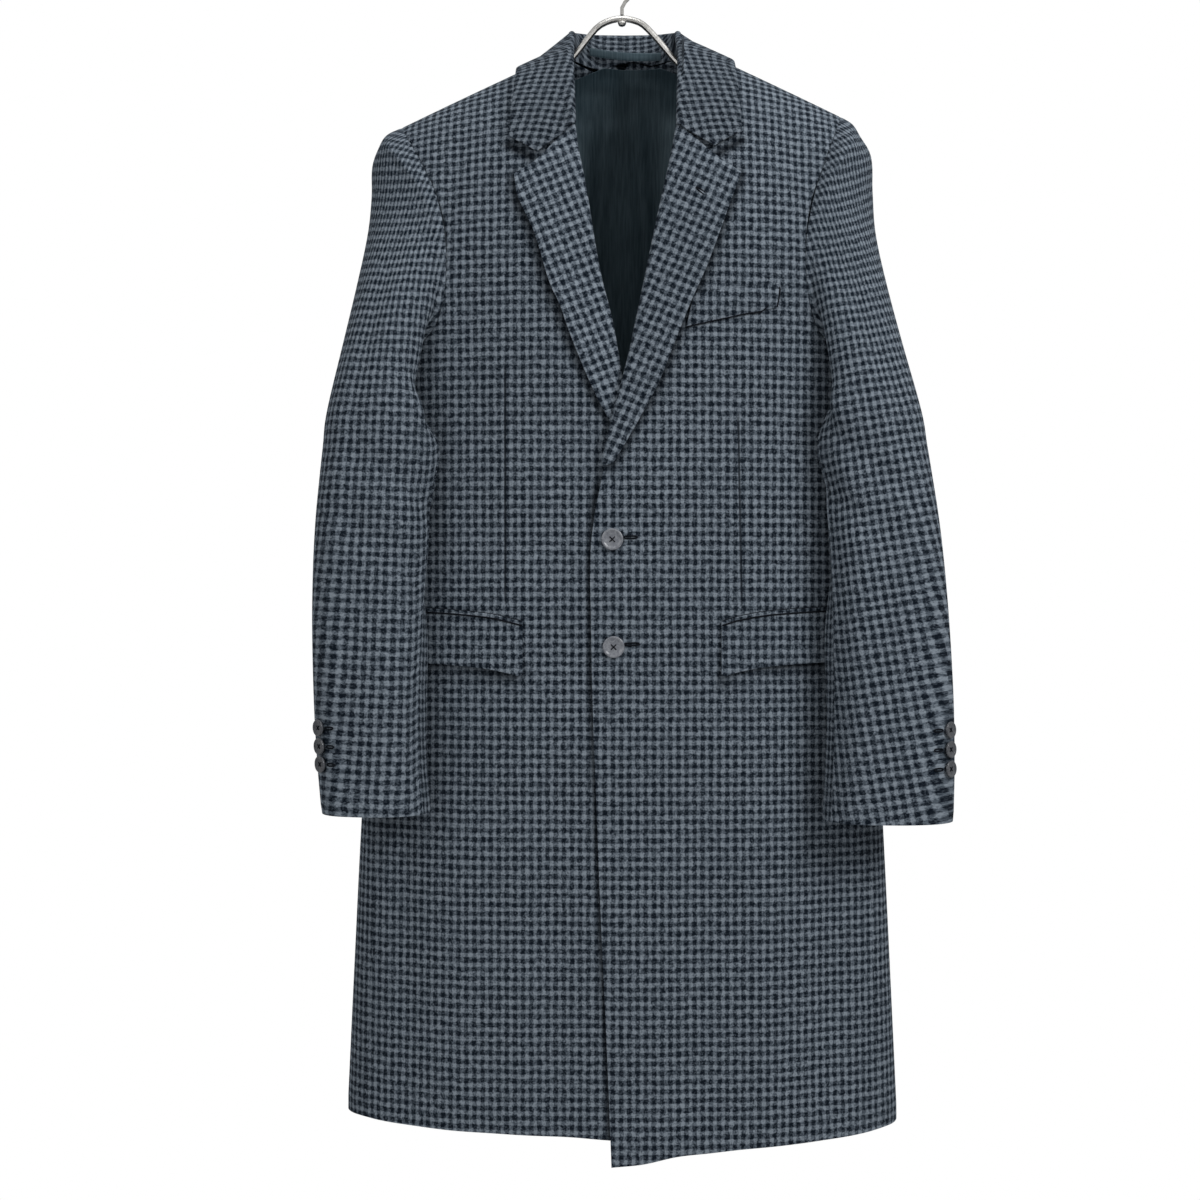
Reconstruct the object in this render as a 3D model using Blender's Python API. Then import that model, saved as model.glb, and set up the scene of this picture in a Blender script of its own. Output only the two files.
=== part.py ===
"""A man's chesterfield coat in checked wool on a tube hanger.

Metres, +Z up. The origin is the hook's inner top, where a rail carries it. The coat faces -Y, and
left and right are the viewer's, so left is -X. The right front laps over the left one.
Every cloth piece is a wall: a grid of points on its right side, and the same grid moved in.
"""
import math

import bpy
import numpy as np

CLOTH = 0.0025  # thickness of the wool
LINING = 0.001  # thickness of the lining and the loop
SEAM = 0.0003  # gap where two pieces are sewn together
LIE = 0.0005  # gap under a piece that lies on another
LAYER = CLOTH + LIE

# The body at several heights: half width, and how far the front and the back stand from y = 0.
BODY_COLUMNS = ("z", "half_width", "front", "back")
BODY = (
    (-1.150, 0.2655, 0.080, 0.074),
    (-1.000, 0.2585, 0.080, 0.072),
    (-0.845, 0.2510, 0.080, 0.070),
    (-0.700, 0.2430, 0.080, 0.068),
    (-0.560, 0.2380, 0.081, 0.066),
    (-0.420, 0.2360, 0.083, 0.066),
    (-0.300, 0.2360, 0.084, 0.066),
    (-0.170, 0.2360, 0.084, 0.066),
)
FLATNESS = 0.85  # 1 makes the body's section an ellipse, less makes its front flatter
FRONT_FALL = 0.200  # how far below the shoulder seam the front is at its full depth
BACK_FALL = 0.070
SHOULDER_TOP, SHOULDER_X, SHOULDER_SLOPE, SHOULDER_ROUND = -0.0652, 0.0105, 0.465, 0.020

ARMPIT_Z = -0.403
SIDE_SEAM = math.radians(67)  # round the body from the middle of the front
NECK_X, NECK_HALF = 0.0028, {-1: 0.0588, 1: 0.0660}  # middle of the neck, half widths at the shoulder seam
SHOULDER_POINT = {-1: -0.2120, 1: 0.2100}
# The over-front's edge from hem to break, then its roll line up to the gorge.
OVER_EDGE_COLUMNS = ("z", "x")
OVER_EDGE = (
    (-1.1422, -0.0103), (-1.0240, -0.0148), (-0.9330, -0.0194), (-0.6960, -0.0285),
    (-0.5870, -0.0295), (-0.5350, -0.0270), (-0.5043, -0.0206), (-0.4670, -0.0108),
    (-0.4216, -0.0003), (-0.3653, 0.0115), (-0.3217, 0.0206), (-0.2726, 0.0306),
    (-0.2232, 0.0417), (-0.1883, 0.0484),
)
UNDER_EDGE = (
    (-1.1194, 0.0120), (-0.6000, 0.0095), (-0.4850, 0.0095), (-0.4520, 0.0050),
    (-0.4171, -0.0003), (-0.3571, -0.0108), (-0.3326, -0.0185), (-0.2890, -0.0267),
    (-0.2476, -0.0330), (-0.2017, -0.0422), (-0.1869, -0.0432),
)
BREAK_Z = {-1: -0.470, 1: -0.504}  # where the lapel starts to turn
GORGE_Z = {-1: -0.1869, 1: -0.1883}
ROLL, ROLL_EASE = 0.0052, 0.0007  # the fronts stop short of the roll line, inside the turned cloth
# The hem's height round the body, in degrees from the middle of the front.
HEM_COLUMNS = ("degrees", "left", "right")
HEM = (
    (-4, -1.1200, -1.1422), (2, -1.1185, -1.1410), (10, -1.1155, -1.1330), (25, -1.1130, -1.1270),
    (67, -1.1090, -1.1200), (120, -1.1100, -1.1170), (180, -1.1140, -1.1140),
)
# The armhole in the front and in the back, from the side seam up to the shoulder.
ARMHOLE_FRONT_COLUMNS = ("share", "left_x", "right_x", "z")
ARMHOLE_FRONT = (
    (0.00, -0.2170, 0.2170, -0.403), (0.10, -0.1985, 0.2010, -0.394),
    (0.20, -0.1780, 0.1840, -0.380), (0.32, -0.1665, 0.1725, -0.352),
    (0.45, -0.1632, 0.1690, -0.318), (0.58, -0.1645, 0.1700, -0.283),
    (0.72, -0.1720, 0.1770, -0.247), (0.86, -0.1900, 0.1905, -0.209),
)
ARMHOLE_BACK_COLUMNS = ("share", "degrees", "z")
ARMHOLE_BACK = (
    (0.00, 67, -0.403), (0.12, 78, -0.391), (0.24, 92, -0.375), (0.36, 108, -0.356),
    (0.48, 123, -0.332), (0.60, 130, -0.303), (0.72, 131, -0.268), (0.85, 126, -0.222),
)
# The back neck seam from the centre to the shoulder seam, as shares of the neck's half width.
BACK_NECK_COLUMNS = ("share", "below_shoulder")
BACK_NECK = ((0.0, 0.0178), (0.45, 0.0174), (0.74, 0.0078), (0.93, 0.0016), (1.0, 0.0))

# Outlines of the lapels as seen from the front.
LAPEL_EDGE_COLUMNS = ("x", "z")
LAPEL_EDGE = {
    -1: ((-0.0050, -0.4720), (-0.0257, -0.4334), (-0.0467, -0.3842), (-0.0572, -0.3549),
         (-0.0677, -0.3320), (-0.0807, -0.2889), (-0.0957, -0.2557), (-0.0996, -0.2331)),
    1: ((-0.0100, -0.4990), (0.0025, -0.4788), (0.0297, -0.4297), (0.0443, -0.3942),
        (0.0607, -0.3531), (0.0763, -0.3182), (0.0939, -0.2701), (0.1080, -0.2316)),
}
NOTCH = {-1: (-0.0792, -0.2205), 1: (0.0837, -0.2154)}
COLLAR_POINT = {-1: (-0.1052, -0.2028), 1: (0.1094, -0.1993)}
NOTCH_GAP = 0.0004

# The collar at stations from the centre back round to the gorge, for the left half, measured
# from the middle of the neck: the fold's top, the way it points, the way out, and the outer
# edge, which lies at an angle round the shoulder line, in degrees, plus towards the back.
COLLAR_COLUMNS = ("fold_x", "fold_y", "fold_z", "top_x", "top_z", "out_x", "out_y", "edge_x", "edge_turn")
COLLAR = (
    (0.0000, 0.0590, -0.0590, 0.0, 1.0, 0.0, 1.0, 0.0000, 66),
    (-0.0300, 0.0550, -0.0598, 0.0, 1.0, -0.5, 0.9, -0.0520, 49),
    (-0.0455, 0.0385, -0.0640, 0.0, 1.0, -0.9, 0.5, -0.0850, 28),
    (-0.0508, 0.0195, -0.0700, 0.1, 1.0, -1.0, 0.2, -0.0985, 12),
    (-0.0496, 0.0000, -0.0774, 0.4, 1.0, -1.0, -0.2, -0.1030, -6),
    (-0.0486, -0.0380, -0.1150, 1.0, 0.6, -0.4, -1.0, -0.1038, -28),
    (-0.0473, -0.0600, -0.1500, 1.0, 0.2, -0.2, -1.0, -0.1055, -42),
    (-0.0462, -0.0735, -0.1869, 1.0, 0.0, 0.0, -1.0, -0.1080, -54),
)
FOLD_RADIUS = 0.0034
COLLAR_LIFT = 0.0020  # how far the collar's fall stands off the body

# Each sleeve below the armpit: its two edges as seen from the front, and its depth.
SLEEVE_COLUMNS = ("z", "outer_x", "inner_x", "middle_y", "half_depth")
SLEEVE = {
    -1: ((-0.450, -0.2765, -0.1620, -0.035, 0.066), (-0.500, -0.2810, -0.1660, -0.043, 0.061),
         (-0.560, -0.2850, -0.1720, -0.053, 0.054), (-0.640, -0.2855, -0.1775, -0.066, 0.045),
         (-0.740, -0.2820, -0.1815, -0.071, 0.043), (-0.817, -0.2755, -0.1768, -0.074, 0.042)),
    1: ((-0.450, 0.2785, 0.1705, -0.035, 0.066), (-0.500, 0.2860, 0.1775, -0.043, 0.061),
        (-0.560, 0.2935, 0.1840, -0.053, 0.054), (-0.640, 0.2990, 0.1865, -0.066, 0.045),
        (-0.740, 0.3030, 0.1870, -0.071, 0.044), (-0.824, 0.3015, 0.1833, -0.074, 0.043)),
}
SLEEVE_SECTION = 2.4  # 2 is an ellipse, more is squarer
# Where each lengthwise line of the sleeve starts round the armhole, from the shoulder point by
# the front, and where it ends in the sleeve's section, in degrees from the outer edge.
SLEEVE_LINE_COLUMNS = ("armhole_share", "degrees")
SLEEVE_LINES = (
    (0.000, 14), (0.120, 50), (0.250, 90), (0.340, 130), (0.410, 170), (0.470, 205), (0.530, 235),
    (0.600, 262), (0.720, 303), (0.850, 342), (1.000, 374),
)
HEAD_RINGS, UPPER_ROWS = 8, 13  # rows of the sleeve's head, and of the fronts and back above the armpit
FRONT_SEAM_ROW, BACK_SEAM_ROW = 2, 8  # rows of the armhole where the sleeve's two seams start

FLAP_TOP_COLUMNS = ("x", "z")
FLAP = {
    -1: ((-0.0925, -0.6470), (-0.1204, -0.6405), (-0.1494, -0.6372), (-0.1800, -0.6352), (-0.2100, -0.6345)),
    1: ((0.0906, -0.6470), (0.1082, -0.6420), (0.1362, -0.6375), (0.1800, -0.6345), (0.2120, -0.6335)),
}
FLAP_HEIGHT, FLAP_CORNER, JET_HEIGHT = 0.0465, 0.006, 0.0035
WELT_LOW, WELT_HIGH = ((0.0580, -0.3740), (0.1416, -0.3541)), ((0.0650, -0.3440), (0.1435, -0.3320))

FRONT_BUTTONS = ((-0.0100, -0.5681), (-0.0088, -0.6664))
CUFF_BUTTON_Z = {-1: (-0.7385, -0.7552, -0.7712), 1: (-0.7405, -0.7580, -0.7755)}
CUFF_BUTTON_DEGREES = {-1: 37, 1: 37}
FRONT_BUTTON, CUFF_BUTTON, BUTTON_THICK = 0.0100, 0.0076, 0.0030

LINING_LOW, LINING_HALF = -0.520, 0.150
TUBE, WIRE = 0.0030, 0.0018  # radii of the hanger's tube and hook
ARCH = ((-0.0473, -0.1006), (-0.0358, -0.0863), (-0.0238, -0.0719), (-0.0120, -0.0656), (0.0, -0.0635),
        (0.0110, -0.0652), (0.0201, -0.0692), (0.0305, -0.0795), (0.0425, -0.0935), (0.0541, -0.1066))
HOOK_RADIUS = 0.020

WOOL_DARK, WOOL_LIGHT = (0.055, 0.068, 0.085), (0.065, 0.078, 0.095)
FINISHES = {
    "wool": (WOOL_LIGHT, 0.85, 0.0),
    "wool_under": (WOOL_DARK, 0.85, 0.0),
    "satin": ((0.014, 0.020, 0.025), 0.40, 0.0),
    "horn": ((0.016, 0.017, 0.025), 0.22, 0.0),
    "chrome": ((0.75, 0.76, 0.77), 0.15, 1.0),
}


def smoothstep(t):
    t = np.clip(t, 0, 1)
    return t * t * (3 - 2 * t)


def along(rows, shares):
    """Points at the given shares (0 to 1) of a smooth curve through the rows, as Catmull-Rom."""
    p = np.array(rows, float)
    p = np.vstack([2 * p[0] - p[1], p, 2 * p[-1] - p[-2]])
    t = np.clip(np.asarray(shares, float), 0, 1) * (len(rows) - 1)
    i = np.minimum(t.astype(int), len(rows) - 2)
    t = (t - i)[..., None]
    a, b, c, d = p[i], p[i + 1], p[i + 2], p[i + 3]
    return 0.5 * (2 * b + (c - a) * t + (2 * a - 5 * b + 4 * c - d) * t**2 + (3 * b - a - 3 * c + d) * t**3)


def column(table, columns, name, at, key=None):
    """A table's column read at given values of its first or key column."""
    rows = np.array(table, float)
    return np.interp(at, rows[:, columns.index(key or columns[0])], rows[:, columns.index(name)])


def body(z, name):
    return column(BODY, BODY_COLUMNS, name, z)


def shoulder(x):
    """The height of the shoulder line."""
    return SHOULDER_TOP - SHOULDER_SLOPE * np.hypot(np.asarray(x) - SHOULDER_X, SHOULDER_ROUND)


def over_edge(z):
    return column(OVER_EDGE, OVER_EDGE_COLUMNS, "x", z)


def under_edge(z):
    return column(UNDER_EDGE, OVER_EDGE_COLUMNS, "x", z)


def tuck(x, z):
    """How far the left front is pressed back where the right one lies over it."""
    ramp = smoothstep((x - over_edge(z) + 0.092) / 0.080)
    layers = LAYER + 0.0005 + (LAYER + 0.0020) * smoothstep((z + 0.54) / 0.05)
    return ramp * layers * smoothstep((-0.25 - z) / 0.08)


def depth(x, z, side, left=False):
    """y of the body at x, z: -1 is the front, 1 the back. The left front is pressed back."""
    reach, fall = (body(z, "front"), FRONT_FALL) if side < 0 else (body(z, "back"), BACK_FALL)
    across = np.clip(1 - (x / body(z, "half_width")) ** 2, 0, 1) ** (FLATNESS / 2)
    below = np.clip(shoulder(x) - z, 0, fall)
    y = side * reach * across * np.sqrt(np.maximum(1 - (1 - below / fall) ** 2, 0))
    return y + tuck(x, z) if left else y


def normal(x, z, side, left=False, h=2e-6):
    """The outward normal of the body at x, z."""
    fx = (depth(x + h, z, side, left) - depth(x - h, z, side, left)) / (2 * h)
    fz = (depth(x, z + h, side, left) - depth(x, z - h, side, left)) / (2 * h)
    n = np.stack([fx, -np.ones_like(fx), fz], -1) * -side
    return n / np.linalg.norm(n, axis=-1, keepdims=True)


def on_body(x, z, side, left=False):
    return np.stack([x, depth(x, z, side, left), z], -1), normal(x, z, side, left)


def finish(name):
    """The Principled material of one finish."""
    if name in bpy.data.materials:
        return bpy.data.materials[name]
    colour, roughness, metallic = FINISHES[name]
    m = bpy.data.materials.new(name)
    m.use_nodes = True
    shader = m.node_tree.nodes["Principled BSDF"]
    shader.inputs["Base Color"].default_value = (*colour, 1)
    shader.inputs["Roughness"].default_value = roughness
    shader.inputs["Metallic"].default_value = metallic
    m.diffuse_color = (*colour, 1)
    return m


def add_object(name, points, faces, material):
    mesh = bpy.data.meshes.new(name)
    mesh.from_pydata([tuple(p) for p in points], [], [tuple(f) for f in faces])
    mesh.update()
    mesh.shade_smooth()
    mesh.set_sharp_from_angle(angle=math.radians(50))
    made = bpy.data.objects.new(name, mesh)
    bpy.context.collection.objects.link(made)
    made.data.materials.append(finish(material))
    return made


def grid_normals(p):
    """Normals of a grid of points from the directions of its rows and columns."""
    n = np.cross(np.gradient(p, axis=1), np.gradient(p, axis=0))
    return n / np.maximum(np.linalg.norm(n, axis=-1, keepdims=True), 1e-12)


def wall(name, outer, normals, thickness=CLOTH, material="wool"):
    """A sheet of cloth: the grid of outer points, the same moved in, and the four edges."""
    rows, cols = outer.shape[:2]
    points = np.concatenate([outer.reshape(-1, 3), (outer - normals * thickness).reshape(-1, 3)])
    k = np.arange(rows * cols).reshape(rows, cols)
    quad = np.stack([k[:-1, :-1], k[:-1, 1:], k[1:, 1:], k[1:, :-1]], -1).reshape(-1, 4)
    loop = np.concatenate([k[0, :], k[1:, -1], k[-1, -2::-1], k[-2:0:-1, 0]])
    rim = np.stack([np.roll(loop, -1), loop, loop + rows * cols, np.roll(loop, -1) + rows * cols], -1)
    halves = np.concatenate([quad[:, [0, 1, 2]], quad[:, [0, 2, 3]]])
    rim = np.where(rim[:, :1] > rim[:, 1:2], np.roll(rim, -1, axis=1), rim)
    rim = np.concatenate([rim[:, [0, 1, 2]], rim[:, [0, 2, 3]]])
    faces = np.concatenate([halves, halves[:, ::-1] + rows * cols, rim])
    a, b, c = (outer.reshape(-1, 3)[quad[:, i]] for i in (0, 1, 3))
    facing = np.sum(np.cross(b - a, c - a) * normals.reshape(-1, 3)[quad[:, 0]])
    return add_object(name, points, faces if facing > 0 else faces[:, ::-1], material)


def armhole_front(side, share):
    """x and z of the front armhole, from the side seam up to the shoulder point."""
    top = SHOULDER_POINT[side]
    rows = ARMHOLE_FRONT + ((1.0, SHOULDER_POINT[-1], SHOULDER_POINT[1], float(shoulder(top))),)
    x = column(rows, ARMHOLE_FRONT_COLUMNS, "left_x" if side < 0 else "right_x", share)
    start = side * float(body(ARMPIT_Z, "half_width")) * math.sin(SIDE_SEAM)
    x = x + (start - rows[0][1 if side < 0 else 2]) * np.clip(1 - share / 0.1, 0, 1)
    return x, column(rows, ARMHOLE_FRONT_COLUMNS, "z", share)


def armhole_back(side, share):
    """Angle round the body, in radians, and z of the back armhole."""
    top = SHOULDER_POINT[side]
    z = float(shoulder(top))
    turn = 180 - math.degrees(math.asin(abs(top) / float(body(z, "half_width"))))
    rows = ARMHOLE_BACK + ((1.0, turn, z),)
    angle = np.radians(column(rows, ARMHOLE_BACK_COLUMNS, "degrees", share))
    return angle, column(rows, ARMHOLE_BACK_COLUMNS, "z", share)


def hem(side, angle):
    return column(HEM, HEM_COLUMNS, "left" if side < 0 else "right", np.degrees(angle))


def upper_rows(count):
    """Shares of the way from armpit to shoulder seam, closer together as the body rounds over."""
    return np.sin(np.linspace(0, math.pi / 2, count + 1))[1:]


def body_grid(angle_in, z_in, angle_out, z_out, lower, cols, side):
    """Angles and heights of a panel: straight rows below the armpit, rows that bend to the
    shoulder line above it. The first lower rows run from the hem to the armpit."""
    s = np.linspace(0, 1, cols + 1)
    angle = angle_in[:, None] * (1 - s) + angle_out[:, None] * s
    z = z_in[:, None] * (1 - s) + z_out[:, None] * s
    foot = hem(side, angle)
    down = np.linspace(1, 0, lower + 1)[:, None]
    z[: lower + 1] = ARMPIT_Z + (foot[: lower + 1] - ARMPIT_Z) * down
    x = side * body(z, "half_width") * np.sin(angle)
    below_in = (shoulder(x[:, 0]) - z_in)[:, None]
    below_out = (shoulder(x[:, -1]) - z_out)[:, None]
    bent = shoulder(x) - (below_in * (1 - s) + below_out * s)
    blend = np.concatenate([np.zeros(lower + 1), upper_rows(len(z) - lower - 1)])[:, None]
    z = z * (1 - blend) + bent * blend
    return angle, side * body(z, "half_width") * np.sin(angle), z


def turned_back(side, z):
    """0 on the plain front edge, 1 where the lapel is turned back, with a soft change between."""
    return smoothstep((z - BREAK_Z[side] - 0.004) / 0.03)


def front_edge(side, lower=9, upper=UPPER_ROWS):
    """Height and x of each row of a front at its edge, its roll line and its neck seam."""
    neck = NECK_X + side * NECK_HALF[side]
    z_low = np.linspace(-1.14 if side > 0 else -1.119, ARMPIT_Z, lower + 1)
    z = np.concatenate([z_low, ARMPIT_Z + (shoulder(neck) - ARMPIT_Z) * upper_rows(upper)])
    up = np.clip((z - GORGE_Z[side]) / (shoulder(neck) - GORGE_Z[side]), 0, 1)
    return z, (roll_edge(side, z) + side * ROLL * turned_back(side, z)) * (1 - up) + neck * up


def front_panel(side, lower=9, upper=UPPER_ROWS, cols=11):
    """One front, from its edge and roll line out to the side seam and the armhole."""
    share = upper_rows(upper)
    z_in, x_in = front_edge(side)
    z_low = z_in[: lower + 1]
    angle_in = np.arcsin(side * x_in / body(z_in, "half_width"))
    x_out, z_arm = armhole_front(side, share)
    angle_arm = np.arcsin(side * x_out / body(z_arm, "half_width"))
    angle_out = np.concatenate([np.full(lower + 1, SIDE_SEAM - SEAM), angle_arm])
    z_out = np.concatenate([z_low, z_arm])
    angle, x, z = body_grid(angle_in, z_in, angle_out, z_out, lower, cols, side)
    outer, n = on_body(x, z, -1, side < 0)
    outer[-1, :, 1] -= SEAM / 2
    wall("front_right" if side > 0 else "front_left", outer, n)


def back_panel(side, lower=9, upper=UPPER_ROWS, cols=13):
    """One half of the back, from the centre seam round the side to the front's side seam."""
    share = upper_rows(upper)
    z_low = np.linspace(-1.114, ARMPIT_Z, lower + 1)
    rise, turn = np.clip(share / 0.8, 0, 1), np.clip((share - 0.8) / 0.2, 0, 1)
    across = side * NECK_HALF[side] * turn
    neck_x = NECK_X * turn + across
    neck_z = shoulder(neck_x) - column(BACK_NECK, BACK_NECK_COLUMNS, "below_shoulder", turn)
    centre_z = float(shoulder(0.0)) - BACK_NECK[0][1]
    z_up = np.where(turn > 0, neck_z, ARMPIT_Z + (centre_z - ARMPIT_Z) * rise)
    z_in = np.concatenate([z_low, z_up])
    x_in = np.concatenate([np.full(lower + 1, side * SEAM / 2), np.where(turn > 0, neck_x, side * SEAM / 2)])
    angle_in = math.pi - np.arcsin(side * x_in / body(z_in, "half_width"))
    angle_arm, z_arm = armhole_back(side, share)
    angle_out = np.concatenate([np.full(lower + 1, SIDE_SEAM + SEAM), angle_arm])
    z_out = np.concatenate([z_low, z_arm])
    angle, x, z = body_grid(angle_in, z_in, angle_out, z_out, lower, cols, side)
    ahead = (angle <= math.pi / 2)[..., None]
    outer = np.where(ahead, on_body(x, z, -1)[0], on_body(x, z, 1)[0])
    n = np.where(ahead, on_body(x, z, -1)[1], on_body(x, z, 1)[1])
    outer[-1, :, 1] += SEAM / 2
    wall("back_right" if side > 0 else "back_left", outer, n, material="wool_under")


def lining(side, rows=9, cols=5):
    """The back lining on one side of its centre seam, just inside the back."""
    x = side * np.linspace(SEAM, LINING_HALF, cols + 1)
    top = shoulder(0.0) - BACK_NECK[0][1] - 0.0015
    high = np.minimum(top, shoulder(x) - 0.030)
    s = np.linspace(0, 1, rows + 1)[:, None]
    z = LINING_LOW + (high - LINING_LOW) * s
    x = np.broadcast_to(x, z.shape)
    p, n = on_body(x, z, 1)
    ease = 0.0006 + 0.0014 * smoothstep((z + 0.32) / 0.08)[..., None] + 0.0018 * smoothstep((z + 0.18) / 0.03)[..., None]
    outer = p - n * (CLOTH + LIE + LINING + ease)
    name = "back_lining_right" if side > 0 else "back_lining_left"
    wall(name, outer, -n, LINING, "satin")


def roll_edge(side, z):
    """x of the lapel's roll line."""
    return over_edge(z) if side > 0 else under_edge(z)


def lapel(side, rows=15, cols=6, wrap=4):
    """A lapel: it turns round the front's cut edge at the roll line and lies on the front."""
    left = side < 0
    z_roll = np.linspace(BREAK_Z[side] + 0.004, GORGE_Z[side] - NOTCH_GAP, rows + 1)
    s = np.linspace(0, 1, rows + 1)
    x_roll = np.interp(z_roll, *front_edge(side))
    out = along(LAPEL_EDGE[side], s)
    w = np.linspace(0, 1, cols + 1)
    x = x_roll[:, None] * (1 - w) + out[:, :1] * w
    z = z_roll[:, None] * (1 - w) + out[:, 1:] * w
    notch_at = (abs(NOTCH[side][0]) - abs(x_roll[-1])) / (abs(out[-1, 0]) - abs(x_roll[-1]))
    top_z = np.interp(w, (0, notch_at, 1), (z_roll[-1], NOTCH[side][1] - NOTCH_GAP, out[-1, 1]))
    z = z + (top_z - z[-1]) * smoothstep((s - 0.72) / 0.28)[:, None]
    lift = LAYER + 0.0008 * (1 - s)[:, None] + 0.0015 * np.sin(math.pi * np.clip(s * 1.1, 0, 1))[:, None] * w
    p, n = on_body(x, z, -1, left)
    flat = p + n * lift[..., None]
    flat[:, :, 0], flat[:, :, 2] = x, z
    edge, edge_n = on_body(x_roll, z_roll, -1, left)
    middle = edge - edge_n * CLOTH / 2
    along_edge = np.gradient(middle, axis=0)
    along_edge /= np.linalg.norm(along_edge, axis=-1, keepdims=True)
    away = np.cross(along_edge, edge_n) * side
    away *= np.sign(-side * away[:, :1])
    radius = CLOTH / 2 + LAYER
    turns = np.radians(np.linspace(100, 0, wrap + 1))[:-1]
    middle = middle + away * ROLL_EASE
    rolled = np.stack([middle + radius * (math.cos(a) * edge_n + math.sin(a) * away) for a in turns], 1)
    outer = np.concatenate([rolled, flat], 1)
    n = grid_normals(outer)
    n *= np.sign(np.sum(n[:, -1] * edge_n, -1))[:, None, None]
    wall("lapel_right" if side > 0 else "lapel_left", outer, n)


def clear_of_body(p, lift):
    """Moves points out until they stand clear of the body by the lift."""
    x, y, z = p[..., 0], p[..., 1].copy(), p[..., 2].copy()
    for side, fall in ((-1, FRONT_FALL), (1, BACK_FALL)):
        reach = body(z, "front" if side < 0 else "back")
        across = np.clip(1 - (x / body(z, "half_width")) ** 2, 0, 1) ** (FLATNESS / 2)
        a, b = reach * across + lift, fall + lift * 1.15
        centre = shoulder(x) - fall
        e = np.hypot(y / a, (z - centre) / b)
        own = y * side >= 0
        near = own & (z > centre) & (e < 1)
        y, z = np.where(near, y / e, y), np.where(near, centre + (z - centre) / e, z)
        low = own & (z <= centre) & (np.abs(y) < a)
        y = np.where(low, side * a, y)
    return np.stack([x, y, z], -1)


def shoulder_point(x, turn):
    """Body points at x and an angle round the shoulder line in degrees, plus towards the back."""
    side = np.where(turn < 0, -1, 1)
    fall = np.where(turn < 0, FRONT_FALL, BACK_FALL)
    z = shoulder(x) - fall * (1 - np.cos(np.radians(turn)))
    y = np.where(side < 0, depth(x, z, -1), depth(x, z, 1))
    return np.stack([x, y, z], -1)


def unit(v):
    return v / np.linalg.norm(v, axis=-1, keepdims=True)


def neck_seam(side, s):
    """The edge of the fronts and back where the collar is sewn on, from the centre back (0) by
    the shoulder seam to the gorge (1), and the body's normal along it."""
    shoulder_at = 4 / 7
    behind = s < shoulder_at
    neck = NECK_X + side * NECK_HALF[side]
    back_share = np.clip(s / shoulder_at, 0, 1)
    front_share = np.clip((s - shoulder_at) / (1 - shoulder_at), 0, 1)
    gorge = float(roll_edge(side, GORGE_Z[side])) + side * ROLL
    x = np.where(behind, NECK_X + side * NECK_HALF[side] * back_share, neck + (gorge - neck) * front_share)
    corners = np.clip((upper_rows(UPPER_ROWS) - 0.8) / 0.2, 0, 1)
    below = np.interp(back_share, corners, column(BACK_NECK, BACK_NECK_COLUMNS, "below_shoulder", corners))
    front_z = shoulder(neck) + (GORGE_Z[side] - shoulder(neck)) * front_share
    z = np.where(behind, shoulder(x) - below, front_z)
    back, front = on_body(x, z, 1), on_body(x, z, -1)
    return tuple(np.where(behind[:, None], back[i], front[i]) for i in (0, 1))


def fold_frame(side, s):
    """The collar's fold: its top, the way it points, and the way out to the fall."""
    t = dict(zip(COLLAR_COLUMNS, along(COLLAR, s).T))
    top = np.stack([NECK_X - side * t["fold_x"], t["fold_y"], t["fold_z"]], -1)
    lengthwise = unit(np.gradient(top, axis=0))
    lengthwise[-1] = (0, 0, 1)
    up = np.stack([-side * t["top_x"], 0 * s, t["top_z"]], -1)
    up = unit(up - lengthwise * np.sum(up * lengthwise, -1, keepdims=True))
    out = np.stack([-side * t["out_x"], t["out_y"], 0 * s], -1)
    out -= lengthwise * np.sum(out * lengthwise, -1, keepdims=True)
    out = unit(out - up * np.sum(out * up, -1, keepdims=True))
    edge = shoulder_point(NECK_X - side * t["edge_x"], t["edge_turn"])
    return top, up, out, edge


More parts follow.
